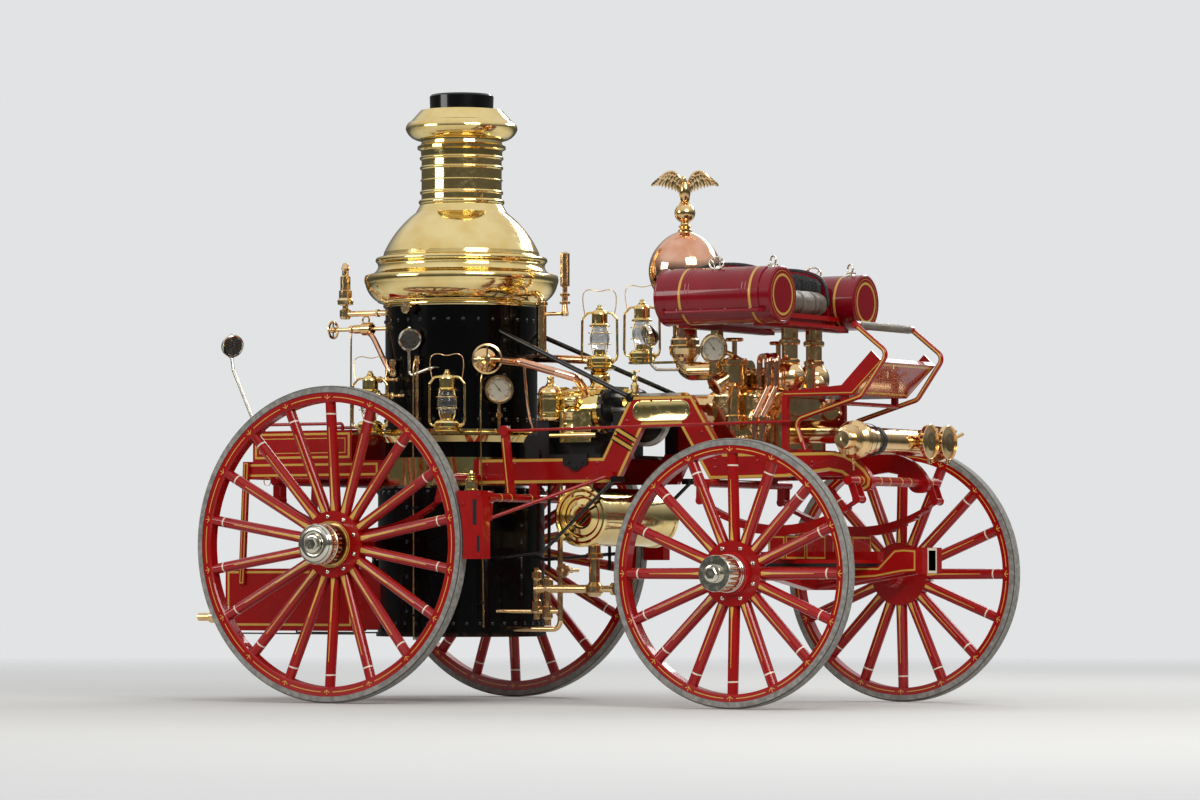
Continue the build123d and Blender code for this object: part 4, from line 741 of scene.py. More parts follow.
plate_forward, plate_height = 1520, 1394
for side, sign in sides:
    outward = Vector((0, sign, 0))

    def arch_plate(bm):
        layers = []
        for shrink, rise in ((0, 0.2), (0, 2.2), (2, 3.4), (6, 3.4), (9, 2.6)):
            centre = at(plate_forward, sign * (frame_half + rise), plate_height)
            ring = stadium(centre, 0.158 - shrink / 1000, 0.050 - shrink / 1000, X, Z)
            layers.append([bm.verts.new(point) for point in ring])
        for low, high in zip(layers, layers[1:]):
            for k in range(len(low)):
                bm.faces.new((low[k], low[(k + 1) % len(low)], high[(k + 1) % len(low)], high[k]))
        bm.faces.new(layers[-1])

    mesh_piece(f"arch_plate_{side}", arch_plate, brass)
    screws = [(at(plate_forward + way * 136, sign * (frame_half + 2.4), plate_height), outward) for way in (-1, 1)]
    mesh_piece(f"arch_plate_screws_{side}", lambda bm: domes(bm, screws, 0.005), steel)

# %% [markdown]
# ## Wheel bolts and nuts
#
# Domed bolt heads hold each hub's flanges together, a stepped cap covers the axle's end, and a
# hexagonal nut ends the cap. Pins through the felloe stand beside each spoke. All of it rides on
# its wheel.

# %% Wheel hardware
cap_outlines = {  # (radius, distance out) in millimetres
    "rear": ((96.8, 935), (98.6, 938), (98.6, 944), (96.8, 947), (96.8, 966), (98.2, 969), (98.2, 974), (96.6, 978),
             (89, 985.8), (46, 985.8)),
    "front": ((84.8, 886), (88, 888), (88, 900), (84.8, 903), (84.8, 909), (87, 911), (87, 918), (84.8, 920),
              (84.8, 1016), (80.6, 1022.8), (42, 1022.8)),
}
felloe_face = 0.8762
for place, wheel in wheel_sizes.items():
    for side, sign in sides:
        outward = Vector((0, sign, 0))
        centre = at(wheel.forward, 0, wheel.radius)
        body = f"wheel_{place}_{side}"

        def flange_bolts(bm):
            bolt_ring, count = (wheel.flange + wheel.ring) / 2 - 2, wheel.spokes // 2
            angles = [math.tau * (k + 0.5) / count for k in range(count)]
            middle = centre + outward * wheel.face / 1000
            domes(bm, [(middle + Vector((math.cos(a), 0, math.sin(a))) * bolt_ring / 1000, outward) for a in angles],
                  0.0115, 0.009, 14)

        def boss(bm):
            foot = centre + outward * wheel.nut_from / 1000
            rim, end = wheel.nut_radius / 1000 + 0.0007, (wheel.nut_to - wheel.nut_from) / 1000
            lathe(bm, foot, outward, ((rim, 0), (rim, end - 0.006), (rim - 0.005, end), (rim - 0.012, end + 0.0015),
                                      (0, end + 0.0015)), 48)
            if place == "rear":
                lathe(bm, foot, outward, ((0.084, -0.001), (0.084, 0.003), (0.079, 0.008), (0.066, 0.011),
                                          (0.052, 0.008), (0.049, 0.002)), 64)

        def cap(bm):
            lathe(bm, centre, outward, [(radius / 1000, out / 1000) for radius, out in cap_outlines[place]], 64)

        def nut(bm):
            lathe(bm, centre + outward * wheel.nut_to / 1000, outward,
                  ((0.031, 0), (0.031, 0.008), (0.027, 0.0105), (0, 0.0105)), 6)

        def felloe_pins(bm):
            for k in range(wheel.spokes):
                angle = math.pi / 2 + math.tau * k / wheel.spokes
                away = Vector((math.cos(angle), 0, math.sin(angle)))
                around = Vector((-away.z, 0, away.x))
                domes(bm, [(centre + away * (wheel.felloe + 18) / 1000 + around * 0.034 * way + outward * felloe_face,
                            outward) for way in (-1, 1)], 0.0035, 0.002, 8)

        mesh_piece(f"flange_bolts_{place}_{side}", flange_bolts, nickel, body)
        mesh_piece(f"hub_boss_{place}_{side}", boss, nickel, body)
        mesh_piece(f"hub_cap_{place}_{side}", cap, nickel, body)
        mesh_piece(f"hub_nut_{place}_{side}", nut, nickel, body, smooth=False)
        mesh_piece(f"felloe_pins_{place}_{side}", felloe_pins, wheel_paints[place], body)

# %% [markdown]
# ## Rivets
#
# The boiler's plates are riveted: a ring above the foot, a ring below the band, rings at the
# bottom and top of the shell, and upright seams. Each row is a list of points by angle and height.

# %% Boiler rivets
boiler_forward, firebox_radius, shell_radius = 207, 410, 375


def boiler_point(radius, angle, height):
    """A point on the boiler's skin, and the direction out of it."""
    away = Vector((math.cos(angle), math.sin(angle), 0))
    return at(boiler_forward, 0, height) + away * radius / 1000, away


def boiler_rivets(bm):
    heads = [boiler_point(radius, math.tau * k / count, height) for radius, height, count in (
        (firebox_radius, 380, 40), (firebox_radius, 1020, 40), (shell_radius, 1372, 32), (shell_radius, 1860, 32))
        for k in range(count)]
    for seam in (-1.9, -0.42, 0.9, 2.4):
        heads += [boiler_point(shell_radius, seam, height) for height in range(1420, 1840, 84)]
        heads += [boiler_point(firebox_radius, seam + 0.2, height) for height in range(440, 1000, 84)]
    domes(bm, heads, 0.010, 0.007)


mesh_piece("boiler_rivets", boiler_rivets, black_paint)

# %% [markdown]
# ## Lanterns
#
# Each lantern has a wire guard round its globe and a bail to carry it by, leaning to one side.
# Lanterns and eagle stand turned by 30 degrees, so two directions are named for them here. Thin
# wire is a curve with a round bevel, which takes a few points where a mesh takes hundreds.

# %% Lantern wires
chamber_forward = 1477
lantern_feet = [at(410, -450, 1308), at(-34, -450, 1308), at(1000, 0, 1622), at(1238, 0, 1642)]
askew_across = Vector((math.cos(math.radians(30)), math.sin(math.radians(30)), 0))
askew_ahead = Vector((math.sin(math.radians(30)), -math.cos(math.radians(30)), 0))


guard_profile = ((0.040, 0.058), (0.056, 0.085), (0.057, 0.14), (0.054, 0.19), (0.040, 0.212))
half_bail = ((0.070, 0.246), (0.074, 0.268), (0.080, 0.30), (0.082, 0.335), (0.076, 0.362), (0.055, 0.374),
             (0.03, 0.372), (0.012, 0.366))
bail_profile = [(-out, up) for out, up in half_bail] + list(reversed(half_bail))
rings, bails, ribs = [], [], []
for foot, lean in zip(lantern_feet, (0.05, -0.03, 0.06, -0.05)):
    rings += [ring_points(foot + Z * height, Z, 0.056, 16) for height in (0.112, 0.166)]
    for k in range(4):
        angle = math.pi / 4 + k * math.pi / 2
        away = math.cos(angle) * askew_across + math.sin(angle) * askew_ahead
        ribs.append([foot + away * out + Z * up for out, up in guard_profile])
    bails.append([foot + askew_across * out + Z * up + askew_ahead * lean * (up - 0.25) * 8
                  for out, up in bail_profile])
wire("lantern_guard_rings", rings, 0.0017, brass, cyclic=True)
wire("lantern_guard_ribs", ribs, 0.0015, brass)
wire("lantern_bails", bails, 0.0024, bronze)


def lantern_collars(bm):
    for foot in lantern_feet:
        lathe(bm, foot, Z, ((0.0622, 0.012), (0.0655, 0.015), (0.0655, 0.019), (0.0622, 0.022)))
        lathe(bm, foot, Z, ((0.0462, 0.196), (0.0495, 0.198), (0.0495, 0.203), (0.0462, 0.206)))
        lathe(bm, foot + askew_across * 0.052 + Z * 0.03, askew_across,
              ((0.009, 0), (0.009, 0.012), (0.012, 0.014), (0.012, 0.020), (0, 0.022)), 16)
        lathe(bm, foot + Z * 0.279, Z, ((0.016, 0), (0.018, 0.006), (0.010, 0.014), (0.012, 0.02), (0, 0.026)), 20)


mesh_piece("lantern_collars", lantern_collars, brass)

# %% [markdown]
# ## Gauges
#
# A dial lies at the bottom of each gauge's rim. Its paint is drawn about the piece's own origin,
# so the disc is made flat there and then placed, which the other pieces don't need.

# %% Gauge dials
dial_places = (("boiler_dial", at(566, -226, 1515), Vector((0.6, -0.8, 0)), 0.061),
               ("pump_dial", at(1810, -300, 1682), -Y, 0.063))
for name, centre, outward, radius in dial_places:
    face = mesh_object(name, lambda bm: lathe(
        bm, Vector(), Z, ((0, 0), (radius, 0), (radius, -0.0006), (0, -0.0006)), 48), smooth=False)
    across = Z.cross(outward).normalized()
    turn = Matrix((across, Z, outward.normalized())).transposed().to_4x4()
    face.matrix_world = Matrix.Translation(centre + outward * 0.0092) @ turn
    finish_piece(face, dial)
    mesh_piece(name + "_rim", lambda bm: lathe(bm, centre + outward * 0.0105, outward, (
        (radius - 0.001, -0.002), (radius - 0.001, 0.004), (radius - 0.007, 0.001), (radius - 0.007, -0.002)), 48),
        bronze)

# %% [markdown]
# ## Tool cylinders
#
# Raised bands, gold lines beside them, ringed end plates, and a nickel ring-pull on each lid. What
# is on a lid rides on it and stops at its edges; what is beside it stays on the cylinder.

# %% Tool cylinder trim
drum_out, drum_height = 415, 1920  # a tool cylinder's axis
drum_ends = ((1618, -1), (2240, 1))  # (forward, which way the end looks)
lid_start, lid_end = -31, 74  # degrees up from level, on the outer side
lid_skin, drum_skin = 0.1388, 0.1324


def drum_way(sign, angle):
    """The direction out of a tool cylinder; the angle is up from level on the outer side."""
    return Vector((0, sign * math.cos(angle), math.sin(angle)))


def drum_point(forward, sign, angle, radius):
    return at(forward, sign * drum_out, drum_height) + drum_way(sign, angle) * radius


def drum_band(bm, forward, sign, width, radius, start, end, count=48):
    """A strip part of the way round a tool cylinder, its edges sunk by a millimetre."""
    angles = [math.radians(start + (end - start) * k / count) for k in range(count + 1)]
    rows = [[bm.verts.new(drum_point(forward + edge * width / 2, sign, angle, radius - sunk)) for angle in angles]
            for edge, sunk in ((-1, 0.001), (-0.7, 0), (0.7, 0), (1, 0.001))]
    for low, high in zip(rows, rows[1:]):
        for k in range(count):
            bm.faces.new((low[k], low[k + 1], high[k + 1], high[k]))


def lid_bands(bm):
    for forward in (1787, 1805, 2091, 2109):
        drum_band(bm, forward, sign, 9, 0.1396, lid_start, lid_end)


def lid_lines(bm):
    for forward in (1760, 2136):
        drum_band(bm, forward, sign, 15, lid_skin, lid_start, lid_end)


def drum_lines(bm):
    for forward in (1760, 2136):
        drum_band(bm, forward, sign, 15, drum_skin, 77, 320, 80)
    for end, way in drum_ends:
        for radius, width in ((0.092, 0.012), (0.112, 0.002)):
            lathe(bm, at(end, sign * drum_out, drum_height) + X * way * proud / 1000, X * way,
                  ((radius - width / 2, 0), (radius + width / 2, 0)), 56)


def drum_end_rims(bm):
    for end, way in drum_ends:
        lathe(bm, at(end, sign * drum_out, drum_height), X * way, (
            (0.1325, -0.012), (0.1345, -0.010), (0.1345, -0.004), (0.129, 0.0006), (0.1235, 0.0012),
            (0.122, 0.0002)), 64)


def lid_pull_plate(bm):
    lathe(bm, pull - out * 0.001, out, ((0.017, 0), (0.017, 0.003), (0.009, 0.006), (0.006, 0.012), (0, 0.013)), 24)
    low = math.radians(-29)
    domes(bm, [(drum_point(x, sign, low, lid_skin), drum_way(sign, low)) for x in (1740, 1870, 2000, 2130)],
          0.005, 0.003)


def drum_catch_plate(bm):
    lathe(bm, rest - rise * 0.001, rise, ((0.018, 0), (0.018, 0.003), (0.008, 0.006), (0.006, 0.014), (0, 0.015)), 24)


for side, sign in sides:
    lid = f"tool_lid_{side}"
    mesh_piece(f"lid_bands_{side}", lid_bands, maroon_paint, lid)
    mesh_piece(f"lid_lines_{side}", lid_lines, gold, lid, "maroon_paint")
    mesh_piece(f"drum_lines_{side}", drum_lines, gold, slot="maroon_paint")
    mesh_piece(f"drum_end_rims_{side}", drum_end_rims, maroon_paint)

    crown = math.radians(68)  # where the pull is
    pull, out = drum_point(1922, sign, crown, 0.1390), drum_way(sign, crown)
    along_skin = Vector((0, -sign * math.sin(crown), math.cos(crown)))
    loop = [pull + out * (0.026 + 0.026 * math.sin(a)) + X * 0.040 * math.cos(a) + along_skin * 0.014 * math.sin(a)
            for a in (math.tau * k / 14 for k in range(14))]
    wire(f"lid_pull_{side}", [loop], 0.0042, nickel, lid, cyclic=True)
    wire(f"lid_pull_links_{side}", [[pull + X * x + out * 0.003, pull + X * x * 0.7 + out * 0.032,
                                     pull + X * x * 2.2 + out * 0.046] for x in (-0.016, 0.016)], 0.0036, nickel, lid)
    mesh_piece(f"lid_pull_plate_{side}", lid_pull_plate, nickel, lid)

    inner = math.radians(101)  # where the catch is
    rest, rise = drum_point(2172, sign, inner, 0.1320), drum_way(sign, inner)
    wire(f"drum_catch_{side}", [ring_points(rest + rise * 0.034, Vector((0.5, 1, 0)), 0.021)], 0.0042, nickel,
         cyclic=True)
    wire(f"drum_catch_bar_{side}", [[rest + rise * 0.012 - X * 0.026, rest + rise * 0.016,
                                     rest + rise * 0.012 + X * 0.026]], 0.0044, nickel)
    mesh_piece(f"drum_catch_plate_{side}", drum_catch_plate, nickel)

# %% [markdown]
# ## The driver's seat
#
# The cushion and the back are stuffed leather, sewn in upright channels. Each starts as a slightly
# small solid block, is blown up by a short cloth simulation, and then has its channels pressed in.
# A bulge drawn by hand would be even; the simulation swells most in the middle, as stuffing does.

# %% Stuffed leather
swelling_pressure, swelling_frames = 4.0, 20


def stuffed(name, low, high, cap, round_by):
    """A block with rounded edges, swollen by cloth pressure, no vertex moving further than cap."""
    bm = bmesh.new()
    bmesh.ops.create_cube(bm, size=1.0)
    size, middle = high - low, (low + high) / 2
    for vertex in bm.verts:
        vertex.co = Vector((vertex.co.x * size.x, vertex.co.y * size.y, vertex.co.z * size.z)) + middle
    bmesh.ops.bevel(bm, geom=bm.edges[:], offset=round_by, segments=3, affect="EDGES", profile=0.5)
    data = bpy.data.meshes.new(name)
    bm.to_mesh(data)
    bm.free()
    piece = bpy.data.objects.new(name, data)
    bpy.context.collection.objects.link(piece)
    for other in bpy.context.selected_objects:
        other.select_set(False)
    piece.select_set(True)
    bpy.context.view_layer.objects.active = piece
    remesh = piece.modifiers.new("remesh", "REMESH")
    remesh.mode, remesh.voxel_size = "VOXEL", 0.006
    bpy.ops.object.modifier_apply(modifier="remesh")
    start = [vertex.co.copy() for vertex in piece.data.vertices]
    cloth = piece.modifiers.new("cloth", "CLOTH")
    cloth.settings.use_pressure, cloth.settings.uniform_pressure_force = True, swelling_pressure
    cloth.settings.effector_weights.gravity = 0
    cloth.settings.quality = 4
    cloth.point_cache.frame_start, cloth.point_cache.frame_end = 1, swelling_frames
    for number in range(1, swelling_frames + 1):
        bpy.context.scene.frame_set(number)
    swollen = piece.evaluated_get(bpy.context.evaluated_depsgraph_get()).data
    ends = [vertex.co.copy() for vertex in swollen.vertices]
    piece.modifiers.remove(cloth)
    bpy.context.scene.frame_set(1)
    for vertex, before, after in zip(piece.data.vertices, start, ends):
        move = after - before
        vertex.co = before + (move if move.length < cap else move.normalized() * cap)
    return piece


def press_channels(piece, spacing, depth, width, along, faces, gather=0.0):
    """Presses in sewn channels square to along, on the sides that face a way in faces.

    A gather below nought swells what is between them."""
    piece.data.update()
    normals = [vertex.normal.copy() for vertex in piece.data.vertices]
    for vertex, normal in zip(piece.data.vertices, normals):
        facing = max(0.0, max(normal.dot(way) for way in faces))
        place = vertex.co.dot(along) / spacing
        off = abs(place - round(place)) * spacing
        groove = math.exp(-(off / width) ** 2)
        crown = math.cos(math.pi * off / spacing) ** 2
        vertex.co -= normal * facing * (depth * groove + gather * crown)
    piece.data.shade_smooth()


print("swelling:", f"{swelling_frames} frames")

# %% [markdown]
# The cushion has a channel every 125 mm and the back one every 83.5 mm. Each stands for the CAD's
# solid of the same place.

# %% Cushion and back
cushion = stuffed("driver_cushion", at(1718, -252, 1858), at(2138, 252, 1952), 0.012, 0.034)
press_channels(cushion, 0.125, 0.012, 0.009, Y, (X, Z), -0.003)
finish_piece(cushion, cushion_leather)
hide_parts("seat_cushion")

back = stuffed("driver_back", at(1684, -250, 1964), at(1746, 250, 2056), 0.009, 0.022)
press_channels(back, 0.0835, 0.012, 0.008, Y, (X, Z), -0.003)
finish_piece(back, black_leather)
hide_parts("seat_back")

# %% [markdown]
# Inside each wing is a thin lining. It is made as a block and then cut to the wing's curved top,
# by moving every vertex down in the share that the wing is lower there.

# %% Wings' linings
wing_top_line = ((1678, 2050), (1740, 2066), (1800, 2075), (1880, 2076), (1952, 2070), (2010, 2058), (2066, 2036),
                 (2096, 1996), (2110, 1944), (2112, 1900))
lining_low, lining_high, lining_end = 1948, 2060, 1990


def wing_top(forward):
    """The height of a wing's top edge."""
    return next((z0 + (z1 - z0) * (forward - x0) / (x1 - x0) for (x0, z0), (x1, z1) in zip(
        wing_top_line, wing_top_line[1:]) if x0 <= forward <= x1), lining_end)


for side, sign in sides:
    near, far = sorted((sign * 238, sign * 259))
    lining = stuffed(f"wing_lining_{side}", at(1752, near, lining_low), at(2094, far, lining_high), 0.006, 0.009)
    press_channels(lining, 0.058, 0.008, 0.006, X, (Vector((0, -sign, 0)),), -0.001)
    low = lining_low / 1000
    for vertex in lining.data.vertices:
        top = wing_top((vertex.co.x - rear_axle_x) * 1000) - 6
        vertex.co.z = low + (vertex.co.z - low) * (top - lining_low) / (lining_high - lining_low)
    finish_piece(lining, black_leather)

# %% [markdown]
# A roll of leather hides the edge all round, and brass tacks hold it along the wings.

# %% Edge roll and tacks
back_top_line = ((-240, 2052), (-120, 2054), (0, 2055), (120, 2054), (240, 2052))
edge_path = [at(x, -271, z + 3) for x, z in reversed(wing_top_line)]
edge_path += [at(1669, y, z) for y, z in back_top_line]
edge_path += [at(x, 271, z + 3) for x, z in wing_top_line]
wire("seat_edge_roll", [edge_path], 0.0105, black_leather)


def seat_tacks(bm):
    """Three tacks along each stretch of a wing's top edge."""
    domes(bm, [(at(x0 + (x1 - x0) * k / 3, sign * 280.2, z0 + (z1 - z0) * k / 3 - 12), Vector((0, sign, 0)))
               for _, sign in sides for (x0, z0), (x1, z1) in zip(wing_top_line, wing_top_line[1:])
               for k in range(3)], 0.0032, 0.0018, 8)


mesh_piece("seat_tacks", seat_tacks, brass, slot=None)

# %% [markdown]
# ## The eagle
#
# A common finial of its time: wings raised and spread, feathers in three rows on each side. Every
# feather is a thin curved leaf with a ridge along its middle, and the wing's edge is a curve
# through four points, so that the rows fan out evenly. It stands for the plain solid of the CAD.

# %% Eagle
eagle_foot = at(chamber_forward, 0, 2400)


def eagle_point(across, height, ahead=0.0):
    return eagle_foot + (askew_across * across + Z * (height - 2400) + askew_ahead * ahead) / 1000


def feather(bm, root, tip, width, bow, face):
    """A leaf with a raised shaft: five stations from root to tip."""
    run = tip - root
    across = run.cross(face).normalized()
    rows = []
    for share, wide in ((0, 0.35), (0.25, 0.85), (0.55, 1.0), (0.82, 0.8), (1.0, 0.08)):
        middle = root + run * share + face * bow * math.sin(math.pi * share) / 1000
        rows.append([bm.verts.new(middle + across * width * wide * way / 2000 + face * lift / 1000)
                     for way, lift in ((-1, 0), (-0.15, 1.2), (0.15, 1.2), (1, 0), (0, -1.4))])
    for low, high in zip(rows, rows[1:]):
        for k in range(5):
            bm.faces.new((low[k], low[(k + 1) % 5], high[(k + 1) % 5], high[k]))
    bm.faces.new(rows[0])
    bm.faces.new(rows[-1])


def wing_edge(share):
    """The wing's leading edge, from the shoulder up to the wrist and out to the tip."""
    u = 1 - share
    return tuple(a * u ** 3 + 3 * b * u * u * share + 3 * c * u * share ** 2 + d * share ** 3
                 for a, b, c, d in ((11, 28, 84, 122), (2478, 2572, 2572, 2514)))


def eagle_form(bm):
    lathe(bm, eagle_point(0, 2404), (Z + askew_ahead * 0.18).normalized(), (
        (0, 0), (0.012, 0.003), (0.022, 0.018), (0.027, 0.042), (0.026, 0.062), (0.019, 0.084), (0.012, 0.098),
        (0.011, 0.106)), 20)
    head = eagle_point(-3, 2513, 20)
    lathe(bm, head - Z * 0.012, (Z * 0.9 + askew_ahead * 0.25 - askew_across * 0.35).normalized(), (
        (0.006, 0), (0.012, 0.006), (0.0145, 0.014), (0.0125, 0.023), (0.006, 0.029), (0, 0.030)), 16)
    beak_way = (askew_ahead * 0.35 - askew_across * 0.9 - Z * 0.1).normalized()
    lathe(bm, head + Z * 0.002 + beak_way * 0.010, beak_way,
          ((0.0062, 0), (0.0052, 0.006), (0.003, 0.012), (0, 0.016)), 10)
    lathe(bm, head - Z * 0.001 + beak_way * 0.022, (beak_way - Z * 1.4).normalized(),
          ((0.0034, 0), (0.0022, 0.005), (0, 0.010)), 8)
    for way in (-1, 1):
        hip = eagle_point(way * 13, 2432, 8)
        foot = eagle_point(way * 14, 2404, 14)
        lathe(bm, hip, foot - hip, ((0, -0.008), (0.011, 0), (0.009, 0.014), (0.0045, 0.024), (0.004, 0.030)), 12)
        for toe in (-0.6, 0.0, 0.6):
            toe_way = (askew_ahead + askew_across * toe - Z * 0.25).normalized()
            lathe(bm, foot, toe_way, ((0.0032, 0), (0.003, 0.010), (0.0016, 0.015), (0, 0.017)), 8)
        for count, first, last, swell, width, lift in (
                (14, 56, 50, 34, 19, -3), (12, 36, 32, 22, 17, 1), (11, 20, 16, 12, 15, 4.5)):
            for k in range(count):
                share = k / (count - 1)
                out, height = wing_edge(share)
                angle = math.radians(-98 + 62 * share ** 1.2)
                length = first + (last - first) * share + swell * math.sin(math.pi * share)
                root = eagle_point(way * out, height, lift - 5 + 4 * math.sin(math.pi * share))
                tip = eagle_point(way * (out + length * math.cos(angle)), height + length * math.sin(angle),
                                  lift - 8 - 6 * share + 1.6 * (k % 2))
                feather(bm, root, tip, width, 3.0, askew_ahead)
        edge = [wing_edge(k / 10) for k in range(11)]
        for (o0, h0), (o1, h1) in zip(edge, edge[1:]):
            start, end = eagle_point(way * o0, h0, 0), eagle_point(way * o1, h1, 0)
            lathe(bm, start, end - start, ((0.0058, -0.001), (0.0052, (end - start).length + 0.001)), 8)
    for k in range(7):
        spread = (k - 3) / 3
        root, tip = eagle_point(spread * 8, 2420, -14), eagle_point(spread * 26, 2392 + 4 * abs(spread), -34)
        feather(bm, root, tip, 11, -2, askew_ahead)


eagle_figure = mesh_piece("eagle_figure", eagle_form, bronze)
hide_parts("eagle")

# %% [markdown]
# ## Lines on the footboard, irons and socket
#
# The same gold leaf runs along the footboard's edges, round its toe board, and along the irons.
# The irons are bent bars, so their lines take the same bends as the bars, on both faces.

# %% More stripes
board_half = 273
iron_run = ((2271, 1235), (2233, 1338), (2582, 1444), (2723, 1641), (2568, 1764))  # the irons' centre line


def toe_board_lines(bm):
    for face, corners in ((Vector((-1, 0, 1)).normalized(), ((2534, 1486, 240), (2655, 1607, 240))),
                          (Vector((1, 0, -1)).normalized(), ((2546, 1464, 250), (2672, 1590, 250)))):
        (x0, z0, half), (x1, z1, _) = corners
        points = [at(x0, -half, z0), at(x0, half, z0), at(x1, half, z1), at(x1, -half, z1)]
        ribbon(bm, [point + face * proud / 1000 for point in points], 0.011, face, True)
    for sideways in (-262, 262):
        ribbon(bm, [at(2170, sideways, 1474 + proud), at(2460, sideways, 1474 + proud)], 0.005, Z)


mesh_piece("toe_board_lines", toe_board_lines, gold, smooth=False)
for side, sign in sides:
    outward = Vector((0, sign, 0))
    wire(f"iron_lines_{side}", [rounded([at(x, sign * (285 + reach), z) for x, z in iron_run], 0.040)
                                for reach in (9.8, -9.8)], 0.0044, gold, smooth=False)
    edge = side_points(((2168, 1462), (2528, 1462), (2672, 1602)), sign * (board_half + proud))
    mesh_piece(f"board_edge_lines_{side}", lambda bm: ribbon(bm, edge, 0.0045, outward), gold, smooth=False)

# %% [markdown]
# ## Straps, chains and handles of the suction inlets
#
# The suction pipe is buckled down with leather, and its caps have finger ribs and handles. All of
# these are rings and knobs, so they are turned forms again.

# %% Suction trim
suction_forward, suction_height = 2600, 1238
outlet_forward, outlet_height = 2670, 1242


def strap_form(bm):
    lathe(bm, at(suction_forward, -214, suction_height), Y,
          ((0.0625, 0), (0.067, 0.001), (0.067, 0.034), (0.0625, 0.035)), 40)
    lathe(bm, at(suction_forward, -268, suction_height), Y,
          ((0.077, 0), (0.079, 0.001), (0.079, 0.010), (0.077, 0.011)), 40)


def cap_ribs(bm):
    for sideways in (-376, -384, -392):
        lathe(bm, at(suction_forward, sideways, suction_height), -Y,
              ((0.0878, 0), (0.0905, 0.0015), (0.0905, 0.0035), (0.0878, 0.005)), 48)
    for sideways in (200, 390):
        centre = at(outlet_forward, sideways, outlet_height)
        lathe(bm, centre + X * 0.022, X, ((0.0802, 0), (0.0825, 0.002), (0.0825, 0.006), (0.0802, 0.008)), 40)
        for angle in (0.6, 2.7, 4.8):
            way = Vector((0, math.cos(angle), math.sin(angle)))
            lathe(bm, centre + X * 0.014 + way * 0.078, way,
                  ((0.008, 0), (0.008, 0.012), (0.011, 0.014), (0.011, 0.024), (0, 0.028)), 12)


mesh_piece("suction_strap", strap_form, black_leather)
mesh_piece("suction_cap_ribs", cap_ribs, bronze)

# %% [markdown]
# Each cap hangs on a chain. It is made link by link along a sagging path, every second link
# turned a quarter, because a texture of links would look flat at its edge.

# %% Chains
def chain(bm, points, link=0.012, gauge=0.0016):
    """Oval links along a path, every second one turned a quarter."""
    total, legs = 0.0, []
    for a, b in zip(points, points[1:]):
        legs.append((total, (b - a).length, a, b))
        total += (b - a).length
    count = int(total / (link * 0.82))
    for k in range(count):
        place = (k + 0.5) * total / count
        start, length, a, b = [leg for leg in legs if leg[0] <= place][-1]
        centre, run = a.lerp(b, (place - start) / length), (b - a).normalized()
        side, up = basis(run)
        across = side if k % 2 else up
        ring = [centre + run * link * 0.5 * math.cos(t) + across * link * 0.3 * math.sin(t)
                for t in (math.tau * n / 10 for n in range(10))]
        normal = run.cross(across)
        rows = []
        for point in ring:
            outward = (point - centre).normalized()
            rows.append([bm.verts.new(point + outward * gauge * math.cos(t) + normal * gauge * math.sin(t))
                         for t in (math.tau * m / 6 for m in range(6))])
        for here, after in zip(rows, rows[1:] + rows[:1]):
            for m in range(6):
                bm.faces.new((here[m], after[m], after[(m + 1) % 6], here[(m + 1) % 6]))


def hanging(start, end, sag, count=10):
    """A sagging path between two points."""
    return [start.lerp(end, k / count) - Z * sag * 4 * (k / count) * (1 - k / count) for k in range(count + 1)]


def cap_chains(bm):
    for start, end, sag in ((at(2600, -400, 1150), at(2560, -310, 1150), 0.05),
                            (at(2660, 250, 1190), at(2640, 340, 1190), 0.045),
                            (at(1870, -262, 1470), at(1800, -300, 1440), 0.05)):
        chain(bm, hanging(start, end, sag))


mesh_piece("cap_chains", cap_chains, bronze)

# %% [markdown]
# ## Trim of the boiler
#
# Fine rings break up the underside of the bowl, a brass sleeve clads the steam riser, and thin
# drain pipes hang down the shell, held by clips. A bead ring is a small circle swept round the
# boiler's axis, and the pipes are wires, thick enough to show as pipes.

# %% Boiler trim
boiler_foot = at(boiler_forward, 0, 0)


def bowl_rings(bm):
    lathe(bm, boiler_foot, Z, ((0.3755, 1.928), (0.384, 1.930), (0.386, 1.938), (0.384, 1.946), (0.378, 1.947)), 128)
    for radius, height, thick in (
            (0.408, 1.9595, 0.0045), (0.425, 1.972, 0.003), (0.4425, 1.9885, 0.003), (0.4105, 2.142, 0.003),
            (0.386, 2.1845, 0.0035), (0.2145, 2.405, 0.003), (0.2015, 2.56, 0.0025)):
        angles = [math.tau * k / 8 for k in range(9)]
        lathe(bm, boiler_foot, Z, [(radius + thick * math.cos(a), height + thick * math.sin(a)) for a in angles], 128)


def riser_sleeve(bm):
    lathe(bm, at(669, 0, 1690), Z, ((0.0175, 0), (0.034, 0), (0.034, 0.012), (0.025, 0.016), (0.025, 0.236),
                                    (0.031, 0.242), (0.031, 0.256), (0.0175, 0.260)), 40)
    ways = [Vector((math.cos(a), math.sin(a), 0)) for a in (-1.2, 0.4)]
    hexes(bm, [(at(669, 0, 1706) + way * 0.024, way) for way in ways], 0.009, 0.008)


